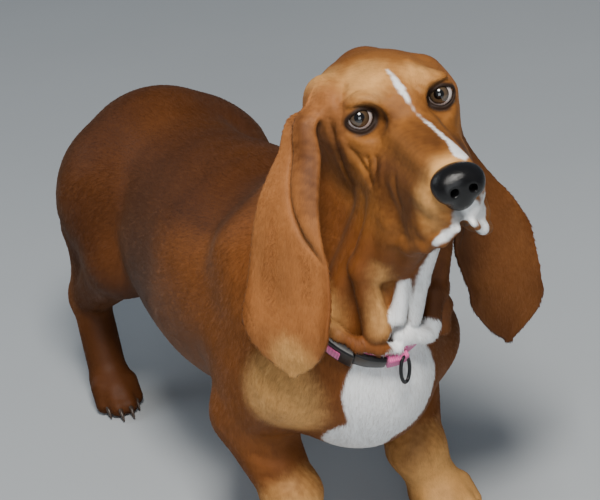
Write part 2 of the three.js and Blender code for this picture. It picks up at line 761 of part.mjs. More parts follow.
// How far the webbing lies from the middle of the neck at a bearing
const collarStations = 44;
const collarRadii = (() => {
  const edgeLifts = [-collar.width / 2, 0, collar.width / 2];
  const found = Array.from({ length: collarStations }, (_, n) => {
    const bearing = (n / collarStations) * 2 * Math.PI;
    let radius = 40;
    while (edgeLifts.some((lift) => neckField(...collarPoint(bearing, radius, lift)) < 0)) radius += 0.5;
    return radius;
  });
  return found.map((radius, n) => {
    const near = [-2, -1, 0, 1, 2].map((d) => found[(n + d + collarStations) % collarStations]);
    return Math.max(radius, near.reduce((sum, r) => sum + r, 0) / near.length) + collar.clearance;
  });
})();
function collarRadius(bearing) {
  const place = ((bearing / (2 * Math.PI) + 1) % 1) * collarStations;
  const [from, part] = [Math.floor(place), place % 1];
  return collarRadii[from] * (1 - part) + collarRadii[(from + 1) % collarStations] * part;
}
function collarBand(by) {
  const rings = collarRadii.map((radius, n) => {
    const bearing = (n / collarStations) * 2 * Math.PI;
    const [inner, outer] = [radius - by, radius + collar.thickness + by];
    const lift = collar.width / 2 + by;
    return [
      collarPoint(bearing, inner, -lift),
      collarPoint(bearing, outer, -lift),
      collarPoint(bearing, outer, lift),
      collarPoint(bearing, inner, lift),
    ];
  });
  return loft(rings, true);
}

// A piece that lies on the band from one bearing to another, with its long edges rounded off
function onBand({ from, to, low, high, tall, tallEnd = tall, steps = 6 }) {
  const rings = Array.from({ length: steps + 1 }, (_, n) => {
    const t = n / steps;
    const bearing = (from + t * (to - from)) * degree;
    const base = collarRadius(bearing) + collar.thickness;
    const lift = (tall + t * (tallEnd - tall)) / 2;
    const round = Math.min(high - low, 4) * 0.6;
    const end = n === 0 || n === steps ? 0.9 : 0;
    return [
      [low, -lift + end],
      [high - round, -lift + end],
      [high - end, -lift + round],
      [high - end, lift - round],
      [high - round, lift - end],
      [low, lift - end],
    ].map(([rise, up]) => collarPoint(bearing, base + rise, up));
  });
  return loft(rings);
}
// An oval ring of round wire that hangs straight down from the front of the band
function leadRing(by) {
  const bearing = 2.6 * degree;
  const hung = new THREE.Vector3(...collarPoint(bearing, collarRadius(bearing) + 6.4, 5));
  const centre = hung.clone().sub(new THREE.Vector3(0, 0, 13.3));
  const wide = new THREE.Vector3(0.86, 0.5, 0).normalize();
  const long = new THREE.Vector3(0, -0.1, 1).normalize();
  const face = new THREE.Vector3().crossVectors(wide, long).normalize();
  const { width, length, wire } = ring;
  const rings = Array.from({ length: 22 }, (_, n) => {
    const turn = (n / 22) * 2 * Math.PI;
    const [c, s] = [Math.cos(turn), Math.sin(turn)];
    const out = wide.clone().multiplyScalar(c / width).addScaledVector(long, s / length).normalize();
    const middle = centre
      .clone()
      .addScaledVector(wide, (c * (width - wire)) / 2)
      .addScaledVector(long, (s * (length - wire)) / 2);
    return Array.from({ length: 6 }, (__, i) => {
      const around = (i / 6) * 2 * Math.PI;
      const radius = wire / 2 + by;
      return middle
        .clone()
        .addScaledVector(out, radius * Math.cos(around))
        .addScaledVector(face, radius * Math.sin(around))
        .toArray();
    });
  });
  return loft(rings, true);
}
const buckle = { from: -47.5, to: -23.4, low: 0.3, high: 9, tall: 27 };
const inset = { from: -41, to: -30.5, low: 9.3, high: 11, tall: 14, steps: 3 };
const slide = { from: -22.9, to: -6.6, low: 0.3, high: 5.5, tall: 24, tallEnd: 16 };
const loop = { from: -5.8, to: 5.2, low: 0.3, high: 10, tall: 15 };
// The dent a piece of the collar makes in loose skin that lies over it
const dent = ({ from, to, high, tall, tallEnd = tall }) =>
  onBand({ from: from - 0.6, to: to + 0.6, low: 0, high: high + 0.8, tall: tall + 1.6, tallEnd: tallEnd + 1.6 });

// Neck, and the loose skin of the throat in front of it
const neckLow = [-150, -430, 190];
const neckHigh = [170, -70, 530];
const neckKept = [...ahead(cuts.neckFromChest), ...ahead(cuts.headFromNeck)];
// The webbing and its fastening sink a little way into the loose skin
const pressed = [buckle, slide, loop].reduce((made, piece) => made.add(dent(piece)), collarBand(0.6));
for (const [name, side, cell] of [
  ["neck", behind(cuts.dewlapFromNeck), 15],
  ["dewlap", ahead(cuts.dewlapFromNeck), 10],
]) {
  const skin = skinOf(hound, [...neckKept, ...side], neckLow, neckHigh, cell);
  add(name, skin.subtract(pressed).subtract(leadRing(0.8)), paleCoat);
}

// Head, with the sockets of the eyes and room for the lower jaw and the pad of the nose
const headLow = [-100, -510, 330];
const headHigh = [160, -180, 590];
const headKept = behind(cuts.headFromNeck);
const jawSkin = (by) => skinOf(swollen(jaw, by), headKept, headLow, headHigh, 8);
const noseSkin = (by) => skinOf(swollen(nose, by), [], headLow, headHigh, 6);
const ball = (s, by) => {
  const rings = Array.from({ length: 8 }, (_, r) => {
    const down = ((r + 0.5) / 8) * Math.PI;
    return Array.from({ length: 12 }, (__, n) => {
      const turn = (n / 12) * 2 * Math.PI;
      const radius = eye.radius + by;
      const [x, y, z] = [Math.sin(down) * Math.cos(turn), -Math.cos(down), Math.sin(down) * Math.sin(turn)];
      return onHead((s * eye.apart) / 2 + x * radius, 8 + y * radius, z * radius - eye.low);
    });
  });
  return loft(rings);
};

// The lids are one shell round the front of the eyeball with an almond opening, deeper below than above.
// Round the eye, 0 points to the outer corner and a quarter turn up to the brow.
function lids(s) {
  const shell = { margin: 0.35, front: 2.6, side: 3.4, end: 82 };
  const count = 18;
  const rings = Array.from({ length: count }, (_, n) => {
    const turn = (n / count) * 2 * Math.PI;
    const corner = Math.abs(Math.cos(turn)) ** 5;
    const open = (Math.sin(turn) > 0 ? 40 : 48) + 24 * corner;
    const at = (down, radius) => {
      const across = Math.sin(down * degree) * Math.cos(turn) * radius;
      const up = Math.sin(down * degree) * Math.sin(turn) * radius;
      return onHead(s * (eye.apart / 2 + across), 8 - Math.cos(down * degree) * radius, up - eye.low);
    };
    const inner = eye.radius + shell.margin;
    return [
      at(open, inner),
      at(open - 3, inner + shell.front * 0.6),
      at(open + 5, inner + shell.front),
      at(open + (shell.end - open) * 0.5, inner + shell.side),
      at(shell.end + 14, inner + shell.side),
      at(shell.end + 14, inner),
    ];
  });
  return loft(rings, true);
}
const faceSkin = skinOf(hound, [...headKept, ...behind(cuts.muzzleFromFace)], headLow, headHigh, 9.4);
const lidded = faceSkin.subtract(jawSkin(1.1)).add(lids(-1)).add(lids(1));
add("head", lidded.subtract(ball(-1, 0.3)).subtract(ball(1, 0.3)), paleCoat);
const muzzleSkin = skinOf(hound, [...headKept, ...ahead(cuts.muzzleFromFace)], headLow, headHigh, 7.5);
add("muzzle", muzzleSkin.subtract(jawSkin(1.1)).subtract(noseSkin(0.8)), paleCoat);
add("lower_jaw", jawSkin(0), paleCoat);
const nostrils = both((s) =>
  stalk([onHead(s * 7, -142, -36), onHead(s * 9, -130, -37), onHead(s * 12, -121, -38)], () => 3, 8),
);
add(
  "nose",
  nostrils.reduce((made, hole) => made.subtract(hole), noseSkin(0)),
  pad,
);
for (const s of [-1, 1]) add(`eye_${sideNames[s]}`, ball(s, 0), eyeball);

// Ears: a long leaf that hangs from low on the skull, its front edge folded over in the upper half.
// Across is from its outer edge to its front edge.
const ears = {
  right: {
    root: onHead(-50, 42, 2),
    line: [[-41, -288, 474], [-52, -296, 450], [-65, -302, 430], [-75, -306, 410], [-83, -310, 382]],
    end: [[-87, -312, 354], [-91, -314, 332], [-98, -316, 308], [-99, -316, 284], [-96, -314, 261]],
    across: [[0.75, -0.66, 0], [0.45, -0.89, 0]],
  },
  left: {
    root: onHead(46, 44, -2),
    line: [[91, -292, 450], [95, -297, 428], [100, -300, 394], [108, -304, 359], [117, -308, 327]],
    end: [[124, -311, 297], [125, -314, 276], [123, -316, 256], [119, -318, 238], [116, -320, 223]],
    across: [[-0.5, -0.86, 0], [-0.97, -0.24, 0]],
  },
};
const clamp = (value) => Math.min(1, Math.max(0, value));
const smooth = (value) => clamp(value) ** 2 * (3 - 2 * clamp(value));
function earWidthAt(t) {
  const body = 0.2 + 0.8 * Math.sin(clamp(t / 0.84) * 90 * degree) ** 1.35;
  const tip = Math.max(0.1, 1 - (Math.max(t - 0.79, 0) / 0.215) ** 2.2);
  return earWidth * body * tip;
}
// How far the leaf stands out of its own middle sheet: its front edge is rolled over from the root down,
// with a groove behind the roll, and the whole leaf is cupped a little.
function earRelief(t, u) {
  const fades = clamp(t / 0.08) * smooth((0.6 - t) / 0.16);
  const at = -0.4 + 1.3 * (t / 0.57) ** 2.2;
  const v = clamp((u - at) / Math.max(1.05 - at, 0.15));
  const roll = 18 * Math.sqrt(v * (1 - v)) - 6 * Math.exp(-(((u - at) / 0.13) ** 2));
  const cup = 8 * u * u * Math.sin(clamp(t * 1.3) * 180 * degree) * (earWidthAt(t) / earWidth);
  return fades * roll - cup;
}
function earSkin({ root, line, end, across }, s) {
  const curve = new THREE.CatmullRomCurve3([root, ...line, ...end].map((p) => new THREE.Vector3(...p)));
  const steps = 18;
  const halfRow = 9;
  const rings = [];
  for (let n = 0; n <= steps; n++) {
    const t = n / steps;
    const centre = curve.getPointAt(t);
    const along = curve.getTangentAt(t);
    const wide = new THREE.Vector3(...across[0])
      .lerp(new THREE.Vector3(...across[1]), Math.min(1, t * 1.8))
      .normalize();
    const out = new THREE.Vector3().crossVectors(along, wide).normalize().multiplyScalar(s);
    const width = earWidthAt(t);
    const point = (u, face) => {
      const thick = (earThickness / 2) * Math.sqrt(Math.max(0, 1 - u ** 4)) * face;
      return centre
        .clone()
        .addScaledVector(wide, (u * width) / 2)
        .addScaledVector(out, earRelief(t, u) + thick)
        .toArray();
    };
    const row = Array.from({ length: halfRow + 1 }, (_, i) => -1 + (2 * i) / halfRow);
    rings.push([...row.map((u) => point(u, 1)), ...row.slice(1, -1).reverse().map((u) => point(u, -1))]);
  }
  return loft(rings);
}
const skullSwell = skinOf(swollen(hound, 1.6), headKept, headLow, headHigh, 9);
const neckSwell = skinOf(swollen(hound, 2.4), ahead(cuts.headFromNeck), [-150, -430, 150], neckHigh, 14);
for (const [name, ear] of Object.entries(ears)) {
  const s = name === "right" ? 1 : -1;
  add(`ear_${name}`, earSkin(ear, s).subtract(skullSwell).subtract(neckSwell), earCoat);
}

add("collar_band", collarBand(0), webbing);

add("collar_buckle", onBand(buckle), plastic);
add("collar_buckle_button", onBand(inset), webbing);
add("collar_slide", onBand(slide), plastic);
add("collar_loop", onBand(loop).subtract(leadRing(0.35)), webbing);
add("collar_ring", leadRing(0), plastic);

const model = new THREE.Group();
model.position.set(standing.x, standing.y, 0);
for (const { name, made, material } of pieces) {
  const mesh = new THREE.Mesh(geometryOf(made), material);
  mesh.name = name;
  model.add(mesh);
}

export default model;
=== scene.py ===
# A basset hound at life size: one skin with its coat, eyes, nose, claws and the collar it wears.
import math

import bpy
import numpy as np
from mathutils import Matrix


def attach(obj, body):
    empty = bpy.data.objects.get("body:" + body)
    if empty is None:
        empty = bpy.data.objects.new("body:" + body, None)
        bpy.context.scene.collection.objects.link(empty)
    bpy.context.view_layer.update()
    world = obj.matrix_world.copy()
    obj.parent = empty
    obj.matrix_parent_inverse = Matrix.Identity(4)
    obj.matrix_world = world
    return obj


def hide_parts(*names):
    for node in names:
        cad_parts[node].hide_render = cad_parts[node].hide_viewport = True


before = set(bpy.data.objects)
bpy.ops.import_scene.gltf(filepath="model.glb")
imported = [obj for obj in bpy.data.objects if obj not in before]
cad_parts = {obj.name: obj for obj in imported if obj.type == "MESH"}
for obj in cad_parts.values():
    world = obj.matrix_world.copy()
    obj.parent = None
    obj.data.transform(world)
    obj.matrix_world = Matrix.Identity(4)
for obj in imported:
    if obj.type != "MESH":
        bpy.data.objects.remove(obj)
rng = np.random.default_rng(7)
degree = math.pi / 180
everywhere = 1e3

# Shapes are worked out in millimetres with the hound facing -Y, as in the CAD part, then moved into place.
place = {"standing": (-20.0, 57.0, 0.0), "scale": 0.001}
head = {"at": (33, -331, 482), "yaw": -9.7, "pitch": -3.8, "roll": -3.2}


def placed(points):
    return (np.asarray(points, float) + place["standing"]) * place["scale"]


def turned(*turns):
    made = Matrix.Identity(3)
    for axis, angle in turns:
        made = made @ Matrix.Rotation(angle * degree, 3, axis)
    return np.array(made)


headTurn = turned(("Z", head["yaw"]), ("X", head["pitch"]), ("Y", head["roll"]))


def onHead(*point):
    return headTurn @ np.array(point, float) + head["at"]


def headWay(*way):
    return headTurn @ np.array(way, float)


def unit(vectors):
    vectors = np.asarray(vectors, float)
    return vectors / np.maximum(np.linalg.norm(vectors, axis=-1, keepdims=True), 1e-9)


def length(vectors):
    return np.sqrt(np.einsum("ij,ij->i", vectors, vectors))


def smooth(low, high, value):
    t = np.clip((value - low) / (high - low), 0, 1)
    return t * t * (3 - 2 * t)


# Forms: every part of the body is a blend of tapered limbs and rounded masses
class Form:
    def __init__(self, distance, low, high, blend):
        self.distance, self.low, self.high, self.blend = distance, low, high, blend


def limb(start, end, startRadius, endRadius, blend=0.0):
    a, b = np.array(start, float), np.array(end, float)
    along = b - a
    inverse = 1 / max(along @ along, 1e-9)
    reach = max(startRadius, endRadius)

    def distance(points):
        q = points - a
        t = np.clip(q @ along * inverse, 0, 1)
        return length(q - t[:, None] * along) - startRadius - t * (endRadius - startRadius)

    return Form(distance, np.minimum(a, b) - reach, np.maximum(a, b) + reach, blend)


def mass(centre, radii, blend=0.0, turn=(0, 0, 0), carrier=None):
    rotation = turned(*zip("XYZ", turn))
    middle = np.array(centre, float)
    if carrier is not None:
        rotation = carrier @ rotation
        middle = onHead(*centre)
    radii = np.array(radii, float)
    reach = np.abs(rotation) @ radii

    def distance(points):
        local = (points - middle) @ rotation / radii
        k = length(local)
        slope = length(local / radii)
        return np.where(slope < 1e-9, -radii.min(), k * (k - 1) / np.maximum(slope, 1e-9))

    return Form(distance, middle - reach, middle + reach, blend)


def both(make):
    forms = []
    for s in (-1, 1):
        made = make(s)
        forms += made if isinstance(made, list) else [made]
    return forms


def headLimb(start, end, startRadius, endRadius, blend=0.0):
    return limb(onHead(*start), onHead(*end), startRadius, endRadius, blend)


def chain(stops, radii, blend):
    return [limb(a, b, r, q, blend) for a, b, r, q in zip(stops, stops[1:], radii, radii[1:])]


def headChain(stops, radii, blend=2.0):
    return chain([onHead(*stop) for stop in stops], radii, blend)


def headMass(centre, radii, blend=0.0, turn=(0, 0, 0)):
    return mass(centre, radii, blend, turn, headTurn)


def smoothUnion(a, b, k):
    h = np.maximum(k - np.abs(a - b), 0) / np.maximum(k, 1e-6)
    return np.minimum(a, b) - h * h * k * 0.25


def formsNear(forms, points, near):
    low, high = points.min(0), points.max(0)
    for form in forms:
        margin = form.blend + near
        if not ((form.low - margin > high).any() or (form.high + margin < low).any()):
            yield form


def blended(forms, points, near=everywhere, start=None):
    d = np.full(len(points), everywhere) if start is None else start
    for form in formsNear(forms, points, near):
        d = smoothUnion(d, form.distance(points), form.blend)
    return d


def carved(d, forms, points, near):
    for form in formsNear(forms, points, near):
        d = -smoothUnion(-d, form.distance(points), form.blend)
    return d


body = {"withers": 358, "croup": 345, "ribHalfWidth": 116, "brisket": 118, "bellyClearance": 146,
        "chestFront": -322, "rumpEnd": 292}
frontPaw = {"x": 82, "y": -216, "turnOut": 12, "width": 66, "length": 84}
hindPaw = {"x": 95, "y": 214, "turnOut": 6, "width": 56, "length": 78}
elbow, wrist = (82, -158, 150), (68, -196, 72)
knee, hock = (82, 140, 202), (88, 262, 114)
tailRoot = {"y": 262, "z": 296, "radius": 21, "length": 262}


def across(s, point):
    return (s * point[0], point[1], point[2])


trunk = [
    mass([0, -80, 240], [body["ribHalfWidth"], 205, 111], 0),
    mass([0, -165, body["brisket"] + 72], [72, 130, 72], 30),
    mass([0, -25, body["brisket"] + 84], [102, 150, 76], 36),
    mass([0, body["chestFront"] + 90, 220], [76, 90, 88], 34),
    mass([0, -182, body["withers"] - 46], [46, 84, 46], 40),
    limb([0, -40, 266], [0, 190, body["croup"] - 76], 74, 76, 40),
    mass([0, 66, body["bellyClearance"] + 78], [96, 146, 78], 36),
    mass([0, 204, body["croup"] - 84], [92, body["rumpEnd"] - 204, 84], 36),
    *both(lambda s: mass([s * 66, 196, 238], [50, 84, 80], 26)),
    *both(lambda s: mass([s * 52, 244, 232], [46, 48, 60], 22)),
    *both(lambda s: limb([s * 56, -168, 312], [s * 62, -240, 216], 32, 36, 28)),
]


def foreleg(s):
    ex, ey, ez = elbow
    wx, wy, wz = wrist
    return [
        limb([s * 62, -236, 214], [s * ex, ey - 4, ez + 6], 37, 36, 24),
        mass([s * 82, -172, 204], [28, 52, 54], 22),
        limb(across(s, elbow), across(s, wrist), 38, 27, 14),
        mass(across(s, wrist), [29, 29, 27], 10),
        limb(across(s, wrist), [s * (frontPaw["x"] - 3), frontPaw["y"] + 12, 30], 27, 26, 10),
    ]


def hindLeg(s):
    hx, hy, hz = hock
    return [
        limb([s * 60, 190, 244], across(s, knee), 60, 37, 24),
        limb(across(s, knee), across(s, hock), 37, 23, 18),
        limb([s * 76, 236, 200], [s * hx, hy + 8, hz + 14], 34, 14, 20),
        mass([s * hx, hy + 12, hz + 2], [14, 16, 20], 10),
        limb([s * hx, hy, hz - 4], [s * (hindPaw["x"] - 1), hindPaw["y"] + 16, 34], 22, 22, 10),
    ]


toes = {"rows": ((-1, 0.62), (-0.36, 1), (0.36, 1), (1, 0.62)), "radius": 11.5, "claw": 7}


def pawPoint(paw, s, out, forward, z):
    turn = s * paw["turnOut"] * degree
    x = out * math.cos(turn) + forward * math.sin(turn)
    y = out * math.sin(turn) - forward * math.cos(turn)
    return [s * paw["x"] + x, paw["y"] + y, z]


def pawForms(paw, s):
    halfWidth, reach, radius = paw["width"] / 2, paw["length"] / 2, toes["radius"]
    turn = (0, 0, s * paw["turnOut"])
    forms = [
        mass(pawPoint(paw, s, 0, -4, 20), [halfWidth - 3, reach - 8, 24], 12, turn),
        mass(pawPoint(paw, s, 0, -14, 10), [halfWidth - 9, 20, 13], 8, turn),
    ]
    for out, ahead in toes["rows"]:
        start = pawPoint(paw, s, out * (halfWidth - 14), 2, 26)
        end = pawPoint(paw, s, out * (halfWidth - radius), ahead * reach - radius, radius - 0.5)
        forms.append(limb(start, end, 13.5, radius, 5))
    return forms


def tailAt(t):
    return np.array([
        12 * t * t,
        tailRoot["y"] + 62 * math.sin(min(1, t * 2.2) * 90 * degree) + 26 * t * t,
        tailRoot["z"] - tailRoot["length"] * 0.92 * t**1.35,
    ])


def tailForms(steps=8):
    radius = lambda t: tailRoot["radius"] * (1 - 0.76 * t)
    stops = [i / steps for i in range(steps + 1)]
    return [limb(tailAt(a), tailAt(b), radius(a), radius(b), 8 if a else 20)
            for a, b in zip(stops, stops[1:])]


neckCore = [
    limb([0, -190, 288], onHead(0, 74, -26), 80, 46, 46),
    limb([0, -258, 244], onHead(0, 20, -62), 58, 36, 34),
    limb([0, -176, 326], onHead(0, 92, -6), 34, 26, 34),
]
throatFolds = [
    limb(onHead(0, -20, -84), [4, -300, 286], 24, 32, 18),
    *chain([[24, -374, 371], [17, -357, 332], [13, -343, 290]], [9, 9, 8], 4),
    limb([6, -352, 341], [-3, -344, 298], 6, 9, 4),
    limb(onHead(-34, -24, -62), [-25, -332, 348], 12, 12, 12),
    limb([-25, -332, 348], [-21, -337, 289], 12, 14, 8),
    limb(onHead(-38, 12, -80), [-46, -290, 288], 13, 15, 12),
    *chain([onHead(34, 14, -78), [46, -334, 306], [50, -326, 284], [51, -320, 260]], [11, 8, 9, 9], 8),
    limb([40, -335, 306], [33, -336, 275], 9, 9.5, 5),
    limb(onHead(-34, -38, -86), [-10, -344, 346], 15, 10, 14),
    limb(onHead(-20, -70, -88), [4, -356, 350], 12, 9, 12),
    *chain([[-63, -290, 310], [-58, -306, 300], [-50, -319, 288], [-38, -331, 277], [-22, -339, 271]],
           [6, 6.5, 6.5, 6.5, 6.5], 8),
    limb([-22, -339, 271], [-6, -343, 268], 6.5, 6, 6),
    limb(onHead(38, 14, -76), [52, -288, 284], 13, 14, 12),
    mass([5, -338, 276], [13, 12, 12], 5),
    mass([20, -338, 271], [18, 12, 11], 5, (0, 20, 4)),
]
skullHalfWidth = 56
headForms = [
    headMass([-6, 52, -2], [skullHalfWidth, 72, 36], 0),
    headMass([0, 20, 0], [39, 37, 27], 16),
    headMass([0, 110, 4], [18, 20, 18], 20),
    *both(lambda s: headMass([s * 40 - 3, 50, -8], [18, 34, 22], 16)),
    headMass([-53, 46, 0], [20, 32, 29], 14),
    *both(lambda s: headMass([s * 30, 5, 14], [17, 13, 8], 8, (0, s * 10, 0))),
    *both(lambda s: headLimb([s * 33 - 1, 0, -20], [s * 48 - 2, 44, -14], 10, 13, 12)),
    *both(lambda s: headMass([s * 36 - 1, 42, -36], [23, 46, 38], 18)),
    *both(lambda s: headLimb([s * 42 - 2, 52, 4], [s * 54 - 3, 40, -12], 13, 8, 12)),
    headLimb([0, 0, -22], [0, -104, -32], 22, 17, 18),
    *both(lambda s: headLimb([s * 11, -10, -20], [s * 8, -104, -28], 14, 12, 10)),
    *both(lambda s: headLimb([s * 18, -10, -50], [s * 9, -100, -50], 26, 20, 12)),
    *both(lambda s: headMass([s * 24, -54, -78], [13, 44, 27], 10, (0, s * 5, 0))),
    *both(lambda s: headMass([s * 33, -8, -78], [15, 36, 30], 14)),
    *both(lambda s: headLimb([s * 8, -108, -62], [s * 19, -88, -78], 12, 12, 6)),
    headMass([0, 8, -62], [40, 52, 32], 20),
]


def lipForms(s):
    line = [[s * 6, -119, -74], [s * 18, -104, -86], [s * 27, -84, -95], [s * 34, -58, -102],
            [s * 40, -30, -98]]
    return [headLimb(a, b, 4.6, 4.8, 8) for a, b in zip(line, line[1:])]


mouth = [
    headLimb([0, -124, -78], [0, -40, -88], 3.6, 10, 6),
    headLimb([0, -122, -60], [0, -124, -78], 0.8, 2.6, 4),
]
jawForms = [
    headMass([0, -78, -80], [17, 26, 12], 0),
    headLimb([0, -60, -82], [0, -12, -84], 14, 17, 8),
]
noseForms = [
    headMass([0, -120, -32], [22, 16, 14], 0),
    headMass([0, -117, -42], [15, 15, 17], 8),
    *both(lambda s: headMass([s * 12, -123, -37], [9, 11, 10], 6)),
]

# Eyes and lids
eye = {"apart": 72.6, "radius": 11.5, "back": 8, "low": 2.2, "clearance": 0.15, "lidGap": 0.25,
       "lidThickness": 2.6, "lidRounding": 0.9, "lidBack": 4, "openAbove": 40, "openBelow": 48, "corner": 24,
       "shellEnd": 84}
orbits = both(lambda s: headMass([s * eye["apart"] / 2, -9, -0.5 - eye["low"]], [17, 15, 13], 6))


def eyeCentre(s):
    return onHead(s * eye["apart"] / 2, eye["back"], -eye["low"])


def eyeAngles(points, s):
    local = (points - eyeCentre(s)) @ headTurn
    r = np.maximum(length(local), 1e-6)
    down = np.arccos(np.clip(-local[:, 1] / r, -1, 1)) / degree
    turn = np.arctan2(local[:, 2], s * local[:, 0])
    return r, down, turn


def lidOpening(turn):
    corner = np.abs(np.cos(turn)) ** 5
    up = smooth(-0.4, 0.4, np.sin(turn))
    return eye["openBelow"] + (eye["openAbove"] - eye["openBelow"]) * up + eye["corner"] * corner


def lidForm(s):
    def distance(points):
        r, down, turn = eyeAngles(points, s)
        middle = eye["radius"] + eye["lidGap"] + eye["lidThickness"] / 2
        through = np.abs(r - middle) - eye["lidThickness"] / 2 + eye["lidRounding"]
        rim = (lidOpening(turn) + eye["lidBack"] - down) * degree * r
        far = (down - eye["shellEnd"]) * degree * r
        side = np.maximum(rim, far)
        outside = np.hypot(np.maximum(through, 0), np.maximum(side, 0))
        return outside + np.minimum(np.maximum(through, side), 0) - eye["lidRounding"]

    reach = eye["radius"] + 6
    return Form(distance, eyeCentre(s) - reach, eyeCentre(s) + reach, 3.0)


def ballForm(s, by):
    centre, radius = eyeCentre(s), eye["radius"] + by
    return Form(lambda points: length(points - centre) - radius, centre - radius, centre + radius, 0.4)


lidForms = [lidForm(s) for s in (-1, 1)]
sockets = [ballForm(s, eye["clearance"]) for s in (-1, 1)]

# Ears: a long leaf that hangs from the side of the skull, its front edge rolled over to past the middle
ear = {"width": 94, "thickness": 3.6, "roll": 9.0, "groove": 6.0, "cup": 8.0, "fullAt": 0.84, "tipFrom": 0.79,
       "tipLength": 0.215, "rollEnd": 0.6}
earShapes = {
    "right": {
        "s": 1,
        "line": [onHead(-50, 42, 2), (-41, -288, 474), (-52, -296, 450), (-65, -302, 430), (-75, -306, 410),
                 (-83, -310, 382), (-87, -312, 354), (-91, -314, 332), (-98, -316, 308), (-99, -316, 284),
                 (-96, -314, 261)],
        "across": [(0.75, -0.66, 0), (0.45, -0.89, 0)],
    },
    "left": {
        "s": -1,
        "line": [onHead(46, 44, -2), (91, -292, 450), (95, -297, 428), (100, -300, 394), (108, -304, 359),
                 (117, -308, 327), (124, -311, 297), (125, -314, 276), (123, -316, 256), (119, -318, 238),
                 (116, -320, 223)],
        "across": [(-0.5, -0.86, 0), (-0.97, -0.24, 0)],
    },
}


def smoothLine(stops, count):
    # a curve through every stop, with its points evenly spaced
    stops = np.array(stops, float)
    padded = np.vstack([2 * stops[0] - stops[1], stops, 2 * stops[-1] - stops[-2]])
    fine = []
    for p0, p1, p2, p3 in zip(padded, padded[1:], padded[2:], padded[3:]):
        for t in np.linspace(0, 1, 20, endpoint=False):
            fine.append(0.5 * (2 * p1 + (p2 - p0) * t + (2 * p0 - 5 * p1 + 4 * p2 - p3) * t * t
                               + (3 * p1 - p0 - 3 * p2 + p3) * t**3))
    fine = np.array(fine + [stops[-1]])
    run = np.concatenate([[0], np.cumsum(length(np.diff(fine, axis=0)))])
    at = np.linspace(0, run[-1], count)
    return np.stack([np.interp(at, run, fine[:, n]) for n in range(3)], 1), run[-1]


def earWidthAt(t):
    widening = 0.2 + 0.8 * np.sin(np.clip(t / ear["fullAt"], 0, 1) * math.pi / 2) ** 1.35
    rounding = np.maximum(0.1, 1 - (np.maximum(t - ear["tipFrom"], 0) / ear["tipLength"]) ** 2.2)
    return ear["width"] * widening * rounding


def earRelief(t, u):
    # the front edge rolls over from the root down, and a groove parts the roll from the leaf
    fades = np.clip(t / 0.08, 0, 1) * smooth(0, 0.16, ear["rollEnd"] - t)
    at = -0.4 + 1.3 * (np.clip(t, 0, 1) / 0.57) ** 2.2
    v = np.clip((u - at) / np.maximum(1.05 - at, 0.15), 0, 1)
    roll = ear["roll"] * 2 * np.sqrt(v * (1 - v)) - ear["groove"] * np.exp(-(((u - at) / 0.13) ** 2))
    cup = ear["cup"] * u * u * np.sin(np.clip(t * 1.3, 0, 1) * math.pi) * earWidthAt(t) / ear["width"]
    return fades * roll - cup


class Ear:
    def __init__(self, shape, stations=73):
        self.centres, self.run = smoothLine(shape["line"], stations)
        self.tangents = unit(np.gradient(self.centres, axis=0))
        t = np.linspace(0, 1, stations)
        mix = np.clip(t * 1.8, 0, 1)[:, None]
        first, last = (np.array(v, float) for v in shape["across"])
        self.wide = unit(first * (1 - mix) + last * mix)
        self.out = unit(np.cross(self.tangents, self.wide)) * shape["s"]
        reach = ear["width"] / 2 + 11
        self.low = self.centres.min(0) - reach
        self.high = self.centres.max(0) + reach

    def local(self, points):
        # how far along the leaf a point lies, how far across, and how far out of its middle sheet
        nearest = np.empty(len(points), int)
        for n in range(0, len(points), 20000):
            chunk = points[n:n + 20000]
            nearest[n:n + 20000] = ((chunk[:, None] - self.centres[None]) ** 2).sum(2).argmin(1)
        q = points - self.centres[nearest]
        step = (q * self.tangents[nearest]).sum(1) / self.run
        t = nearest / (len(self.centres) - 1) + step
        at = np.clip(t, 0, 1) * (len(self.centres) - 1)
        i = np.minimum(at.astype(int), len(self.centres) - 2)
        f = (at - i)[:, None]
        pick = lambda table: table[i] * (1 - f) + table[i + 1] * f
        q = points - pick(self.centres)
        width = earWidthAt(np.clip(t, 0, 1))
        u = 2 * (q * pick(self.wide)).sum(1) / width
        rise = (q * pick(self.out)).sum(1)
        return t, u, rise, width

    def distance(self, points):
        t, u, rise, width = self.local(points)
        inside = np.clip(t, 0, 1)
        half = ear["thickness"] / 2
        uMost = 1 - 2 * half / width
        uIn = np.clip(u, -uMost, uMost)
        slope = (earRelief(inside, uIn + 0.02) - earRelief(inside, uIn - 0.02)) / (0.02 * width)
        height = (rise - earRelief(inside, uIn)) / np.sqrt(1 + slope * slope)
        beside = (np.abs(u) - np.abs(uIn)) * width / 2
        beyond = np.maximum(np.maximum(t - 1, -t), 0) * self.run
        return np.sqrt(height**2 + beside**2 + beyond**2) - half, t


earLeaves = {name: Ear(shape) for name, shape in earShapes.items()}

bodyForms = [*trunk, *both(lambda s: [*foreleg(s), *hindLeg(s)])]
pawsAll = [form for paw in (frontPaw, hindPaw) for s in (-1, 1) for form in pawForms(paw, s)]
houndForms = [*bodyForms, *pawsAll, *tailForms(), *neckCore, *headForms, *both(lipForms), *throatFolds]
coatDepth = 1.5

# Collar frame: bearings run round the neck from the front of the throat towards the hound's left
collar = {"width": 20, "thickness": 2.6, "clearance": 1.4, "stations": 44, "leastRadius": 40,
          "mostRadius": 150, "centre": np.array([-4.0, -266, 326])}
collarNormal = unit(np.array([-0.11, -0.70, 0.705]))
collarBack = unit(np.cross(collarNormal, (1.0, 0, -0.02)))
collarLeft = np.cross(collarBack, collarNormal)


def collarPoint(bearing, radius, lift):
    return (collar["centre"]
            + np.multiply.outer(radius * np.sin(bearing), collarLeft)
            - np.multiply.outer(radius * np.cos(bearing), collarBack)
            + np.multiply.outer(lift, collarNormal))


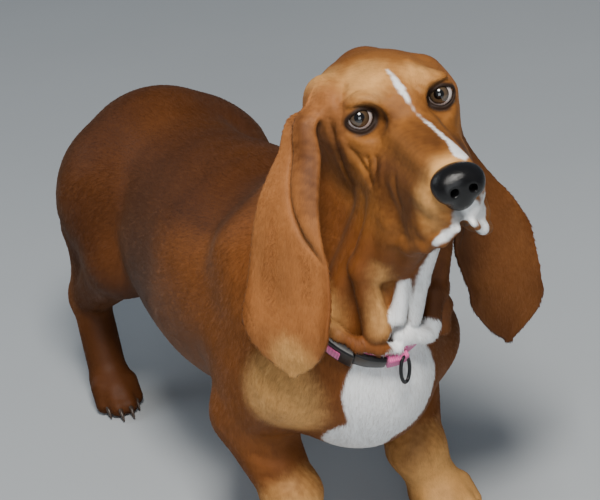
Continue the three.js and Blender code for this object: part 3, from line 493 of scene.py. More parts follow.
def collarRadii():
    count = collar["stations"]
    radii = np.arange(collar["leastRadius"], collar["mostRadius"], 0.5)
    edge = collar["width"] / 2
    found = []
    for n in range(count):
        bearing = n / count * 2 * math.pi
        rows = [collarPoint(bearing, radii, np.full(len(radii), lift)) for lift in (-edge, 0.0, edge)]
        inside = np.stack([blended([*bodyForms, *neckCore], row) < 0 for row in rows]).any(0)
        found.append(radii[np.argmin(inside)])
    found = np.array(found)
    mean = sum(np.roll(found, -d) for d in (-2, -1, 0, 1, 2)) / 5
    return np.maximum(found, mean) + collar["clearance"]


collarTable = collarRadii()


def collarRadius(bearing):
    spot = (np.asarray(bearing) / (2 * math.pi)) % 1 * collar["stations"]
    i = np.floor(spot).astype(int) % collar["stations"]
    f = spot - np.floor(spot)
    return collarTable[i] * (1 - f) + collarTable[(i + 1) % collar["stations"]] * f


def collarLocal(points):
    q = points - collar["centre"]
    x, y = q @ collarLeft, -(q @ collarBack)
    return np.arctan2(x, y), np.hypot(x, y), q @ collarNormal


def bandDistance(points, by):
    bearing, radius, lift = collarLocal(points)
    half = collar["thickness"] / 2
    beside = np.abs(lift) - collar["width"] / 2 - by
    through = np.abs(radius - collarRadius(bearing) - half) - half - by
    return np.maximum(beside, through)


bandLow, bandHigh = np.array([-115, -385, 205]), np.array([115, -130, 430])
joins = {"jaw": 2.0, "ear": 9.0, "earTo": 0.2, "earLeast": 1.2, "bandGap": 0.4, "bandEdge": 1.0}


def houndDistance(points, near=14.0):
    low, high = points.min(0) - near, points.max(0) + near
    d = blended(houndForms, points, near)
    d = smoothUnion(d, blended(jawForms, points, near), joins["jaw"])
    d = carved(d, [*mouth, *orbits], points, near) + coatDepth
    d = blended(lidForms, points, near, d)
    d = carved(d, sockets, points, near)
    for leaf in earLeaves.values():
        if (leaf.low > high).any() or (leaf.high < low).any():
            continue
        leafDistance, t = leaf.distance(points)
        reach = joins["ear"] * np.clip(1 - t / joins["earTo"], 0, 1) + joins["earLeast"]
        d = smoothUnion(d, leafDistance, reach)
    if not ((bandLow > high).any() or (bandHigh < low).any()):
        d = -smoothUnion(-d, bandDistance(points, joins["bandGap"]), joins["bandEdge"])
    return d


def inBlocks(distance, points, size=36.0):
    # evaluates near points together, so that forms which are far away are left out
    stride = 4001
    key = (np.floor(points / size).astype(np.int64) * [1, stride, stride**2]).sum(1)
    order = np.argsort(key, kind="stable")
    result = np.empty(len(points))
    for rows in np.split(order, np.flatnonzero(np.diff(key[order])) + 1):
        result[rows] = distance(points[rows])
    return result


# Skinning: a grid of planes, closer where detail is wanted, gets one point in each crossed cell
def gradedPlanes(stops):
    planes = [stops[0][0]]
    for (start, cell), (end, _) in zip(stops, stops[1:]):
        count = max(1, round((end - start) / cell))
        planes += list(np.linspace(start, end, count + 1)[1:])
    return np.array(planes, float)


def skinOf(distance, rough, axes):
    shape = tuple(len(a) for a in axes)
    block = 9
    starts = [range(0, n, block) for n in shape]
    blocks = [(i, j, k) for i in starts[0] for j in starts[1] for k in starts[2]]
    parts = [[axes[n][at[n]:at[n] + block] for n in range(3)] for at in blocks]
    middles = np.array([[(p[0] + p[-1]) / 2 for p in part] for part in parts])
    reach = np.array([0.5 * math.sqrt(sum((p[-1] - p[0]) ** 2 for p in part)) for part in parts]) + 3
    found = rough(middles)
    value = np.empty(shape, np.float32)
    for (i, j, k), part, d, far in zip(blocks, parts, found, reach):
        spot = np.s_[i:i + block, j:j + block, k:k + block]
        if abs(d) > far * 1.5:
            value[spot] = d
            continue
        nodes = np.stack(np.meshgrid(*part, indexing="ij"), -1)
        value[spot] = distance(nodes.reshape(-1, 3)).reshape(nodes.shape[:3])
    inside = value < 0
    count = np.zeros(tuple(n - 1 for n in shape), np.uint8)
    for a, b, c in np.ndindex(2, 2, 2):
        count += inside[a:shape[0] - 1 + a, b:shape[1] - 1 + b, c:shape[2] - 1 + c]
    active = (count > 0) & (count < 8)
    cells = np.stack(np.nonzero(active), 1)
    index = np.full(active.shape, -1, np.int32)
    index[active] = np.arange(len(cells))
    corners = np.array([[n & 1, n >> 1 & 1, n >> 2] for n in range(8)])
    spots = cells[:, None, :] + corners[None]
    values = value[spots[..., 0], spots[..., 1], spots[..., 2]].astype(float)
    places = np.stack([axes[n][spots[..., n]] for n in range(3)], -1)
    total, weight = np.zeros((len(cells), 3)), np.zeros(len(cells))
    for axis in range(3):
        for p in range(8):
            if p >> axis & 1:
                continue
            q = p | 1 << axis
            a, b = values[:, p], values[:, q]
            crossed = (a < 0) != (b < 0)
            t = np.where(crossed, a / np.where(a == b, 1, a - b), 0)
            total += np.where(crossed[:, None], places[:, p] + t[:, None] * (places[:, q] - places[:, p]), 0)
            weight += crossed
    points = total / weight[:, None]
    quads = []
    for axis in range(3):
        a = [slice(1, n - 1) for n in shape]
        b = list(a)
        a[axis], b[axis] = slice(0, shape[axis] - 1), slice(1, shape[axis])
        first, second = inside[tuple(a)], inside[tuple(b)]
        at = np.stack(np.nonzero(first != second), 1)
        at += [0 if n == axis else 1 for n in range(3)]
        starts = inside[at[:, 0], at[:, 1], at[:, 2]]
        u, v = (axis + 1) % 3, (axis + 2) % 3
        ring = []
        for du, dv in ((0, 0), (1, 0), (1, 1), (0, 1)):
            cell = at.copy()
            cell[:, u] -= du
            cell[:, v] -= dv
            ring.append(index[cell[:, 0], cell[:, 1], cell[:, 2]])
        quad = np.stack(ring, 1)
        quads.append(np.where(starts[:, None], quad, quad[:, ::-1]))
    return points, np.concatenate(quads)


def slopeOf(distance, points, e=0.4):
    # the way out of a form at each point, from four samples round it
    ways = np.array([[1, -1, -1], [-1, -1, 1], [-1, 1, -1], [1, 1, 1]], float)
    stacked = np.concatenate([points + e * way for way in ways])
    found = inBlocks(distance, stacked).reshape(4, -1)
    return (found[:, :, None] * ways[:, None]).sum(0) / (4 * e)


def ontoSkin(distance, points, most, rounds=2):
    for _ in range(rounds):
        slope = slopeOf(distance, points)
        steep = np.maximum(length(slope), 0.25)
        move = np.clip(inBlocks(distance, points) / steep, -most, most)
        points = points - slope * (move / steep)[:, None]
    return points


def meshObject(name, points, faces, material, smoothed=True):
    data = bpy.data.meshes.new(name)
    if isinstance(faces, np.ndarray):
        data.vertices.add(len(points))
        data.vertices.foreach_set("co", placed(points).astype(np.float32).ravel())
        data.loops.add(faces.size)
        data.loops.foreach_set("vertex_index", faces.astype(np.int32).ravel())
        data.polygons.add(len(faces))
        data.polygons.foreach_set("loop_start", np.arange(0, faces.size, faces.shape[1], dtype=np.int32))
        data.update(calc_edges=True)
        data.validate()
    else:
        data.from_pydata(placed(points).tolist(), [], [list(f) for f in faces])
    if smoothed:
        data.shade_smooth()
    data.materials.append(material)
    made = bpy.data.objects.new(name, data)
    bpy.context.scene.collection.objects.link(made)
    return made


# The skin of the whole hound
skin = {
    "x": [(-165, 3.2), (-112, 1.7), (-40, 1.25), (104, 1.7), (150, 3.2), (165, 0)],
    "y": [(-480, 1.25), (-330, 1.7), (-270, 3.2), (420, 0)],
    "z": [(-3, 3.0), (200, 2.2), (385, 1.25), (545, 2.0), (580, 0)],
    "quickTimes": 2.0,
    "lowest": 0.3,
}
coarser = 1.0
axes = [gradedPlanes([(at, cell * coarser) for at, cell in skin[name]]) for name in "xyz"]
skinPoints, skinQuads = skinOf(houndDistance, lambda points: houndDistance(points, everywhere), axes)
skinPoints = ontoSkin(houndDistance, skinPoints, 0.6 * coarser)
print("skin:", len(skinPoints), "points")


def foldPair(line, deep, wide):
    return [([across(s, stop) for stop in line], deep, wide) for s in (-1, 1)]


# Folds are pressed into the skin, or raised from it, along lines given on the head or the body.
# Each is a line, how deep it is pressed (raised if negative) and how wide it runs, in millimetres.
headFolds = [
    # brow, and the wrinkles between and over the eyes
    ([(-12, -14, 12), (-16, -4, 22), (-17, 10, 28)], 1.4, 4.0),
    ([(-54, 12, 5), (-49, 13, 14), (-40, 11, 20), (-31, 6, 23), (-24, -5, 20), (-20, -13, 11)], 2.2, 3.6),
    ([(-37, 29, 25), (-44, 18, 19), (-52, 14, 10)], 1.8, 3.6),
    ([(18, 16, 27), (13, -4, 22), (12, -14, 12), (20, -10, -1)], 2.0, 2.8),
    ([(30, 30, 26), (24, 10, 27), (21, -4, 20)], 1.6, 2.6),
    ([(40, 34, 20), (34, 16, 24), (31, -2, 19)], 1.8, 2.6),
    ([(24, 30, 28), (18, 24, 30)], -1.4, 4.0),
    # under the eyes
    *foldPair([(46, -8, -15), (36, -14, -19), (24, -16, -17)], 1.6, 2.8),
    ([(-53, 6, -20), (-48, 1, -31), (-46, -1, -39), (-45, -10, -47), (-44, -30, -55)], 3.2, 3.4),
    ([(52, 6, -20), (48, -4, -31), (45, -16, -42), (42, -32, -52)], 2.8, 3.4),
    ([(-41, -6, -29), (-43, -10, -40), (-45, -12, -48)], 2.8, 2.8),
    ([(-35, -15, -29), (-38, -20, -37), (-40, -23, -44)], 2.6, 2.6),
    ([(-33, -22, -24), (-36, -30, -36), (-40, -36, -55)], -1.6, 3.6),
    # down the cheek
    ([(-59, 16, 8), (-60, 14, -2), (-60, 19, -26), (-57, 25, -43), (-53, 26, -59), (-51, 24, -74)], 3.6, 3.4),
    ([(-57, 8, -12), (-55, 8, -30), (-53, 10, -46)], -1.6, 4.0),
    ([(56, 10, -6), (56, 16, -34), (52, 20, -64)], 3.0, 4.0),
    *foldPair([(32, -52, -34), (36, -57, -54), (35, -64, -70)], 2.2, 4.4),
    # the line of the nose into the lips
    ([(0, -140, -50), (0, -134, -62), (0, -122, -74)], 1.6, 2.2),
]
bodyFolds = [
    # soft lengthways waves of the right ear
    ([(-77, -294, 425), (-92, -297, 384), (-101, -297, 339), (-104, -314, 300)], 1.4, 12.0),
    ([(-66, -318, 432), (-72, -326, 388), (-78, -332, 350), (-86, -334, 316)], 1.2, 10.0),
    # loose skin behind the elbows and over the wrists
    *foldPair([(112, -120, 168), (108, -100, 140), (88, -96, 124)], 3.0, 8.0),
    *foldPair([(100, -186, 128), (92, -206, 122), (70, -212, 120)], 2.6, 6.0),
    *foldPair([(98, -196, 106), (88, -214, 100), (66, -216, 98)], 2.4, 5.0),
]


def toLine(points, line):
    # distance to a line of several stretches, and how far along it the nearest place lies
    line = np.array(line, float)
    best, where = np.full(len(points), 1e9), np.zeros(len(points))
    for n, (a, b) in enumerate(zip(line, line[1:])):
        t = np.clip((points - a) @ (b - a) / ((b - a) @ (b - a)), 0, 1)
        d = length(points - a - t[:, None] * (b - a))
        where = np.where(d < best, (n + t) / (len(line) - 1), where)
        best = np.minimum(best, d)
    return best, where


def foldDepth(points):
    depth = np.zeros(len(points))
    folds = [([onHead(*p) for p in line], deep, wide) for line, deep, wide in headFolds] + bodyFolds
    for line, deep, wide in folds:
        line, _ = smoothLine(line, 9)
        low, high = line.min(0) - 3 * wide, line.max(0) + 3 * wide
        rows = np.flatnonzero(((points > low) & (points < high)).all(1))
        if not len(rows):
            continue
        d, t = toLine(points[rows], line)
        ends = smooth(0, 0.25, t) * smooth(0, 0.25, 1 - t)
        depth[rows] += deep * ends * np.exp(-((d / wide) ** 2))
    return depth


skinNormals = unit(slopeOf(houndDistance, skinPoints, 0.8))
skinPoints = skinPoints - skinNormals * foldDepth(skinPoints)[:, None]
skinPoints[:, 2] = np.maximum(skinPoints[:, 2], skin["lowest"])  # the soles are flat on the floor
print("folds pressed in")


# Markings, with painted light and shade, shared by the skin and the coat over it
def paint(forms, points, soft, wobble=0.0):
    # 1 where a point lies within the forms, falling to 0 over a soft, slightly ragged edge
    d = blended(forms, points)
    if wobble:
        d = d + wobble * ragged(points)
    return 1 - smooth(-soft, soft, d)


def ragged(points, scale=0.35):
    x, y, z = (points * scale).T
    broad = np.sin(x * 1.3 + 2 * np.sin(z * 0.9)) * np.sin(z * 1.7 + np.sin(y * 1.1))
    return (broad + 0.5 * np.sin(y * 2.3 + x * 1.9)) / 1.5


markingsAndPaintedLight = {
    "white": [
        *headChain([(-3, 11, 30), (-1, -10, 19), (1, -20, 9), (5, -29, -1), (8, -42, -7), (10, -66, -10),
                    (12, -86, -13), (12, -106, -16)],
                   [1.0, 3.2, 1.7, 2.0, 2.0, 2.1, 3.4, 7.5], 1.0),
        *headChain([(15, -112, -38), (18, -106, -66), (14, -105, -88)], [5, 9, 9], 4),
        *headChain([(-26, -101, -88), (-17, -111, -80), (-8, -118, -72), (4, -119, -72)],
                   [2.5, 4, 3.4, 3], 3),
        headMass((4, -120, -64), (13, 12, 13), 4),
        limb([24, -372, 368], [14, -352, 296], 9.0, 9.0, 3),
        limb([5, -352, 334], [-3, -350, 300], 6, 11.5, 3),
        limb([-34, -331, 271], [-6, -343, 264], 5, 7, 3),
        mass((2, -345, 278), (17, 17, 14), 4),
        mass((20, -344, 272), (21, 17, 14), 4),
        mass((-3, -318, 212), (47, 60, 56), 8),
        mass((-28, -275, 160), (28, 50, 34), 12),
        limb(tailAt(0.8), tailAt(1.0), 12, 12, 4),
    ],
    # paler tan on the front of the muzzle and down the forelegs, and painted light on the forehead, brows and
    # crown, the neck, a throat fold and the shoulders
    "pale": [
        headMass((-22, 16, 28), (22, 30, 12), 8),
        headMass((-22, 10, 26), (16, 18, 12), 8),
        headMass((20, 2, 24), (16, 16, 10), 6),
        headMass((-50, 62, 22), (16, 26, 16), 8),
        headMass((-10, -112, -18), (22, 8, 12), 6),
        headMass((-26, -108, -50), (8, 14, 26), 6),
        mass((-50, -300, 300), (10, 20, 22), 8),
        limb([-14, -350, 350], [-20, -346, 296], 5, 8, 6),
        mass((-96, -322, 272), (28, 22, 28), 10),
        mass((-88, -258, 212), (44, 40, 44), 14),
        *both(lambda s: limb(across(s, wrist), pawPoint(frontPaw, s, 0, 30, 10), 30, 40, 8)),
    ],
    # a darker coat along the back, and painted shade on the rear of the body and the hind legs, the ears, the
    # cheeks and muzzle, round the eyes, on the throat and under the jaw
    "dark": [
        mass((0, 130, 250), (150, 230, 130), 40),
        mass((0, -40, 340), (100, 160, 50), 40),
        *both(lambda s: headMass((s * 34, -52, -52), (20, 44, 34), 8)),
        headMass((-56, 20, -40), (8, 12, 44), 8),
        headMass((-25, -6, 20), (9, 8, 8), 4),
        headMass((0, -60, -12), (14, 34, 10), 8),
        *chain([[-46, -290, 480], [-52, -308, 455], [-58, -330, 415]], [9, 10, 10], 6),
        limb([100, -305, 400], [124, -316, 240], 50, 56, 8),
        *both(lambda s: limb(across(s, (86, 200, 150)), pawPoint(hindPaw, s, 0, 0, 10), 60, 50, 20)),
        limb([-10, -350, 352], [-30, -338, 310], 10, 8, 8),
        mass((30, -330, 310), (24, 40, 40), 8),
        *both(lambda s: headMass((s * 18, -14, -4), (9, 10, 8), 4)),
        headLimb((0, -60, -108), (0, 0, -112), 26, 30, 8),
    ],
    "face": [headMass((0, -10, -30), (70, 130, 90), 0)],
    "ear": [limb(a, b, 40, 40) for leaf in earLeaves.values()
            for a, b in zip(leaf.centres[8::16], leaf.centres[24::16])],
    # dark lip pigment along the lips and at the mouth, and painted shade greying the white under the nose
    "lips": [
        headLimb((-5, -124, -56), (-4, -119, -66), 6, 6, 3),
        headMass((0, -100, -90), (16, 22, 12), 4),
        *both(lambda s: headLimb((s * 20, -96, -94), (s * 34, -56, -105), 3, 3, 3)),
    ],
}


def eyeRims(points):
    rim = np.zeros(len(points))
    for s in (-1, 1):
        r, down, turn = eyeAngles(points, s)
        near = (r < eye["radius"] + 16) & (down < 120)
        spread = (down - lidOpening(turn)) * degree * r
        outward = r - eye["radius"]
        rim = np.maximum(rim, near * (1 - smooth(1.5, 7.0, spread)) * (1 - smooth(4.0, 9.0, outward)))
    return rim


masks = {
    "white": lambda p: paint(markingsAndPaintedLight["white"], p, 1.5, 0.9),
    "pale": lambda p: paint(markingsAndPaintedLight["pale"], p, 13.0, 3.0),
    "dark": lambda p: paint(markingsAndPaintedLight["dark"], p, 16.0, 4.0),
    "rim": eyeRims,
    "face": lambda p: paint(markingsAndPaintedLight["face"], p, 20.0),
    "ear": lambda p: paint(markingsAndPaintedLight["ear"], p, 8.0),
    "lips": lambda p: paint(markingsAndPaintedLight["lips"], p, 2.5),
}


def addMask(made, name, values):
    attribute = made.data.attributes.new(name, "FLOAT", "POINT")
    attribute.data.foreach_set("value", np.asarray(values, np.float32))


# Shader maths
class Socket:
    def __init__(self, shader, socket):
        self.shader, self.socket = shader, socket

    def maths(self, operation, *others, clamp=False):
        settings = {"operation": operation, "use_clamp": clamp}
        return self.shader.node("ShaderNodeMath", settings, dict(enumerate([self, *others])))

    def __add__(self, other):
        return self.maths("ADD", other)

    def __sub__(self, other):
        return self.maths("SUBTRACT", other)

    def __mul__(self, other):
        return self.maths("MULTIPLY", other)

    __radd__ = __add__

    def clamped(self):
        return self.maths("MULTIPLY", 1.0, clamp=True)


class Shader:
    def __init__(self, name):
        self.material = bpy.data.materials.new(name)
        self.material.use_nodes = True
        self.tree = self.material.node_tree
        self.surface = self.tree.nodes["Principled BSDF"]

    def node(self, kind, settings=None, sockets=None, output=0):
        made = self.tree.nodes.new(kind)
        for key, value in (settings or {}).items():
            if key == "stops":
                ramp = made.color_ramp
                while len(ramp.elements) < len(value):
                    ramp.elements.new(0.5)
                for element, (at, colour) in zip(ramp.elements, value):
                    element.position, element.color = at, (*colour, 1)
            else:
                setattr(made, key, value)
        for key, value in (sockets or {}).items():
            self.feed(made.inputs[key], value)
        return Socket(self, made.outputs[output])

    def feed(self, target, value):
        if isinstance(value, Socket):
            self.tree.links.new(value.socket, target)
        elif target.type == "RGBA":
            target.default_value = (*value[:3], 1)
        else:
            target.default_value = value

    def mask(self, name):
        return self.node("ShaderNodeAttribute", {"attribute_name": name}, output="Fac")

    def where(self):
        return self.node("ShaderNodeTexCoord", output="Object")

    def noise(self, scale, detail=2.0, roughness=0.5, at=None):
        sockets = {"Vector": at or self.where(), "Scale": scale, "Detail": detail, "Roughness": roughness}
        return self.node("ShaderNodeTexNoise", {}, sockets)

    def eased(self, value, low, high, first, last):
        # runs smoothly from first to last while the value goes from low to high
        sockets = {"Value": value, "From Min": low, "From Max": high, "To Min": first, "To Max": last}
        return self.node("ShaderNodeMapRange", {"interpolation_type": "SMOOTHSTEP"}, sockets)

    def blend(self, factor, a, b, kind="MIX"):
        # a colour mix takes its factor in socket 0 and its colours in 6 and 7, and gives them out in 2
        made = self.tree.nodes.new("ShaderNodeMix")
        made.data_type, made.blend_type = "RGBA", kind
        self.feed(made.inputs[0], factor)
        self.feed(made.inputs[6], a)
        self.feed(made.inputs[7], b)
        return Socket(self, made.outputs[2])

    def bump(self, height, strength, distance):
        sockets = {"Height": height, "Strength": strength, "Distance": distance}
        return self.node("ShaderNodeBump", {}, sockets)

    def set(self, **sockets):
        for key, value in sockets.items():
            self.feed(self.surface.inputs[key.replace("_", " ")], value)
        return self.material


coat = {
    "tan": (0.36, 0.140, 0.030),
    "red": (0.22, 0.072, 0.016),
    "deep": (0.072, 0.022, 0.006),
    "ear": (0.42, 0.165, 0.050),
    "pale": (0.86, 0.46, 0.155),
    "white": (0.93, 0.94, 0.94),
    "rim": (0.014, 0.008, 0.006),
    "lipAndShade": (0.030, 0.027, 0.028),
    "shaded": (0.80, 0.77, 0.74),
    "sheen": (1.0, 0.78, 0.55),
}


def coatColour(shader, own=None):
    broad = shader.noise(14.0, 3.0)
    fine = shader.noise(160.0, 3.0, 0.6)
    patch = shader.noise(38.0, 2.0)
    colour = shader.blend(shader.mask("face"), coat["red"], coat["tan"])
    colour = shader.blend(shader.mask("ear") * 0.9, colour, coat["ear"])
    # painted shade, with the darker coat of the back, drawn towards the deep colour
    shadow = (shader.mask("dark") * 0.78 * (0.6 + broad * 0.8)).clamped()
    colour = shader.blend(shadow, colour, coat["deep"])
    # painted light on the forehead, neck and shoulders, and the paler tan of the muzzle front and forelegs
    colour = shader.blend((shader.mask("pale") * 0.85).clamped(), colour, coat["pale"])
    ticked = ((fine - 0.5) * 0.8 + (broad - 0.5) * 0.5 + 0.2).clamped()
    colour = shader.blend(ticked * 0.35, colour, coat["deep"])
    colour = shader.blend(((patch - 0.46) * 2.6).clamped() * 0.3, colour, coat["deep"])
    colour = shader.blend(shader.mask("white"), colour, coat["white"])
    colour = shader.blend(shader.mask("rim") * 0.97, colour, coat["rim"])
    # dark lip pigment, and painted shade on the white under the nose
    colour = shader.blend(shader.mask("lips") * 0.72, colour, coat["lipAndShade"])
    if own is not None:
        colour = shader.blend(own, colour, shader.blend(1.0, colour, coat["shaded"], "MULTIPLY"))
    return colour


def skinMaterial():
    shader = Shader("shortCoatSkin")
    hairs = shader.noise(900.0, 4.0, 0.7)
    tufts = shader.noise(240.0, 3.0, 0.6)
    relief = hairs * 0.35 + tufts * 0.65
    return shader.set(
        Base_Color=coatColour(shader),
        Roughness=0.6,
        Specular_IOR_Level=0.2,
        Sheen_Weight=0.05,
        Sheen_Roughness=0.4,
        Sheen_Tint=coat["sheen"],
        Normal=shader.bump(relief, 0.35, 0.0012),
    )


def coatMaterial():
    shader = Shader("shortCoatHair")
    return shader.set(
        Base_Color=coatColour(shader, shader.mask("shade")),
        Roughness=0.5,
        Specular_IOR_Level=0.2,
        Sheen_Weight=0.04,
        Sheen_Roughness=0.4,
        Sheen_Tint=coat["sheen"],
    )


skinObject = meshObject("houndSkin", skinPoints, skinQuads, skinMaterial())
for name, found in masks.items():
    addMask(skinObject, name, found(skinPoints))
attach(skinObject, "root")
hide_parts("chest", "loin", "rump", "tail", "neck", "dewlap", "head", "muzzle", "lower_jaw",
            "ear_right", "ear_left",
            *[f"{part}_{end}_{side}" for part in ("leg", "paw") for end in ("front", "hind")
              for side in ("right", "left")])
print("markings laid on")


# The lie of the coat: where a stop stands, which way its hair runs, how far it rules and how long it is
def mirrored(stops):
    out = []
    for at, way, reach, long in stops:
        out.append((at, way, reach, long))
        if abs(at[0]) > 4:
            out.append(((-at[0], *at[1:]), (-way[0], *way[1:]), reach, long))
    return out


headLie = mirrored([
    ((0, -104, -14), (0, 1, 0.3), 18, 1.8),
    ((0, -60, -4), (0, 1, 0.3), 24, 2.2),
    ((0, -8, 16), (0, 0.9, 0.5), 24, 2.8),
    ((0, 50, 32), (0, 1, 0), 34, 4.0),
    ((34, 40, 24), (0.4, 0.8, -0.2), 30, 3.6),
    ((30, -2, 20), (0.5, 0.8, 0.2), 16, 2.4),
    ((24, -70, -30), (0.2, 0.9, -0.1), 24, 2.2),
    ((22, -104, -60), (0.5, 0.5, -0.7), 18, 1.9),
    ((34, -60, -80), (0.1, 0.6, -0.8), 26, 2.6),
    ((44, -10, -40), (0.1, 0.6, -0.75), 26, 3.0),
    ((44, 20, -80), (0, 0.4, -0.9), 34, 4.4),
    ((56, 40, -10), (0.2, 0.6, -0.75), 24, 3.4),
    ((0, -100, -92), (0, 0.6, -0.8), 18, 2.2),
    ((0, -50, -110), (0, 0.5, -0.85), 30, 3.6),
    ((0, 110, -4), (0, 0.5, -0.85), 34, 6.0),
])
bodyLie = mirrored([
    ((0, -200, 440), (0, 0.7, -0.7), 50, 7.5),
    ((60, -230, 380), (0.1, 0.5, -0.85), 50, 7.5),
    ((0, -320, 350), (0, 0.1, -1), 50, 6.5),
    ((0, -150, 370), (0, 1, -0.3), 50, 8.5),
    ((30, -330, 250), (0.35, 0, -0.95), 40, 8.0),
    ((0, -320, 190), (0, 0.2, -1), 40, 9.0),
    ((0, -250, 130), (0, 0.9, -0.3), 50, 8.0),
    ((95, -210, 260), (0.1, 0.35, -0.95), 50, 8.0),
    ((100, -120, 300), (0, 0.75, -0.6), 60, 8.5),
    ((110, -40, 230), (0, 0.9, -0.4), 70, 8.5),
    ((0, -20, 355), (0, 1, -0.05), 60, 9.0),
    ((0, -40, 125), (0, 1, 0), 60, 8.0),
    ((95, 70, 230), (0, 0.9, -0.4), 60, 8.5),
    ((0, 80, 345), (0, 1, 0), 60, 9.0),
    ((0, 60, 150), (0, 1, 0.15), 50, 8.0),
    ((100, 170, 250), (0, 0.55, -0.85), 50, 8.0),
    ((0, 220, 335), (0, 1, -0.4), 50, 9.0),
    ((50, 285, 250), (0, 0.1, -1), 40, 8.5),
    ((100, 140, 190), (0, 0.3, -0.95), 40, 7.0),
    ((90, 240, 160), (0, 0.35, -0.95), 36, 6.5),
    ((90, 265, 90), (0, 0, -1), 36, 5.0),
    ((95, 235, 45), (0, -0.5, -0.9), 30, 4.0),
    ((95, 190, 25), (0, -0.9, -0.45), 26, 3.2),
    ((85, -160, 160), (0, 0.3, -0.95), 40, 6.5),
    ((75, -190, 90), (0, 0.1, -1), 36, 5.0),
    ((78, -200, 45), (0, -0.5, -0.9), 30, 4.0),
    ((84, -240, 25), (0, -0.9, -0.45), 26, 3.2),
])
fur = {
    "most": 430000, "quickShare": 0.35, "perPiece": 62000, "cover": 1.5, "longTimes": 0.72,
    "widthShare": 0.06, "widthLeast": 0.27, "stand": 0.055, "standSpread": 0.03, "sunk": 0.2, "turn": 8.0,
    "longSpread": (0.7, 1.25), "wideSpread": (0.75, 1.25), "tipLift": 0.15, "tilt": 0.45, "bakePatch": 0.0015,
    "soleBare": 3.0, "lidBare": (5, 16), "noseBare": 2.5, "bandBare": 3.0, "tipFromBand": 0.6,
    "tipFromNose": 0.8,
}


def lieStops():
    stops = [(onHead(*at), headWay(*way), reach, long) for at, way, reach, long in headLie]
    stops += [(np.array(at, float), np.array(way, float), reach, long) for at, way, reach, long in bodyLie]
    for leaf in earLeaves.values():
        for n in range(6, len(leaf.centres), 11):
            stops.append((leaf.centres[n], leaf.tangents[n], 20, 3.6))
    for t in np.linspace(0.1, 1, 7):
        stops.append((tailAt(t), tailAt(t) - tailAt(t - 0.08), 26, 9.0))
    return stops


def lieAt(points, normals):
    total, longs, weights = np.zeros((len(points), 3)), np.zeros(len(points)), np.zeros(len(points))
    for at, way, reach, long in lieStops():
        w = np.exp(-((points - at) ** 2).sum(1) / (2 * reach * reach)) + 1e-12
        total += w[:, None] * unit(way)
        longs += w * long
        weights += w
    flat = total - (total * normals).sum(1)[:, None] * normals
    return unit(flat), longs / weights


def unwrapped(made):
    bpy.context.view_layer.objects.active = made
    made.select_set(True)
    made.data.uv_layers.new(name="OFBake")
    bpy.ops.object.mode_set(mode="EDIT")
    bpy.ops.mesh.select_all(action="SELECT")
    bpy.ops.uv.smart_project(angle_limit=1.15, island_margin=0.001)
    bpy.ops.object.mode_set(mode="OBJECT")
    made.select_set(False)
    uv = np.empty(len(made.data.loops) * 2, np.float32)
    made.data.uv_layers["OFBake"].data.foreach_get("uv", uv)
    return uv.reshape(-1, 2)


skinUV = unwrapped(skinObject)
print("skin unwrapped")


def thinned(wanted, middle):
    # no tufts on the soles, the lids' edges, the nose or under the band
    wanted[middle[:, 2] < fur["soleBare"]] = 0
    outward, below = fur["lidBare"]
    for s in (-1, 1):
        r, down, turn = eyeAngles(middle, s)
        wanted[(r < eye["radius"] + outward) & (down < lidOpening(turn) + below)] = 0
    wanted[blended(noseForms, middle) < fur["noseBare"]] = 0
    wanted[bandDistance(middle, 0) < fur["bandBare"]] = 0
    return wanted


def within(corners, u, v):
    # a value known at a face's four corners, at the place u, v in it
    a, b, c, d = corners
    return (a * (1 - u) + b * u) * (1 - v) + (d * (1 - u) + c * u) * v


def growCoat():
    quads = np.empty(len(skinObject.data.loops), np.int32)
    skinObject.data.loops.foreach_get("vertex_index", quads)
    quads = quads.reshape(-1, 4)
    normals = unit(slopeOf(houndDistance, skinPoints, 1.0))
    a, b, c, d = (skinPoints[quads[:, n]] for n in range(4))
    area = 0.5 * length(np.cross(c - a, d - b))
    middle = (a + b + c + d) / 4
    faceNormal = unit(sum(normals[quads[:, n]] for n in range(4)))
    way, long = lieAt(middle, faceNormal)
    long = long * fur["longTimes"]
    wide = fur["widthLeast"] + fur["widthShare"] * long
    wanted = thinned(area * fur["cover"] / (0.5 * long * wide), middle)
    count = min(fur["most"], int(wanted.sum()))
    faces = rng.choice(len(quads), count, p=wanted / wanted.sum())
    u, v = rng.random(count)[:, None], rng.random(count)[:, None]
    root = within([skinPoints[quads[faces, n]] for n in range(4)], u, v)
    up = unit(within([normals[quads[faces, n]] for n in range(4)], u, v))
    uv = within(skinUV.reshape(-1, 4, 2)[faces].transpose(1, 0, 2), u, v)
    forward = unit(way[faces] - (way[faces] * up).sum(1)[:, None] * up)
    side = np.cross(up, forward)
    x, y, z = (root * 0.11).T
    drift = 0.6 * (np.sin(x + 1.7 * np.sin(z)) + np.sin(1.3 * y + np.sin(x * 0.7)))
    turn = (drift + rng.normal(0, 1, count)) * fur["turn"] * degree
    forward = forward * np.cos(turn)[:, None] + side * np.sin(turn)[:, None]
    side = np.cross(up, forward)
    long = long[faces] * rng.uniform(*fur["longSpread"], count)
    wide = wide[faces] * rng.uniform(*fur["wideSpread"], count)
    stand = np.abs(rng.normal(fur["stand"], fur["standSpread"], count))
    rise = long * np.sin(stand) + fur["tipLift"]
    tip = root + forward * (long * np.cos(stand))[:, None] + up * rise[:, None]
    keep = (bandDistance(tip, 0) > fur["tipFromBand"]) & (blended(noseForms, tip) > fur["tipFromNose"])
    root, tip, up, side, wide, uv = (part[keep] for part in (root, tip, up, side, wide, uv))
    low = root - up * fur["sunk"]
    corners = np.stack([
        low + side * (wide * 0.5)[:, None],
        low - side * (wide * 0.5)[:, None],
        low + up * (wide * 0.45 + fur["sunk"])[:, None],
        tip,
    ], 1)
    shade = rng.random(len(root)) ** 2
    return root, corners, up, side, uv, shade


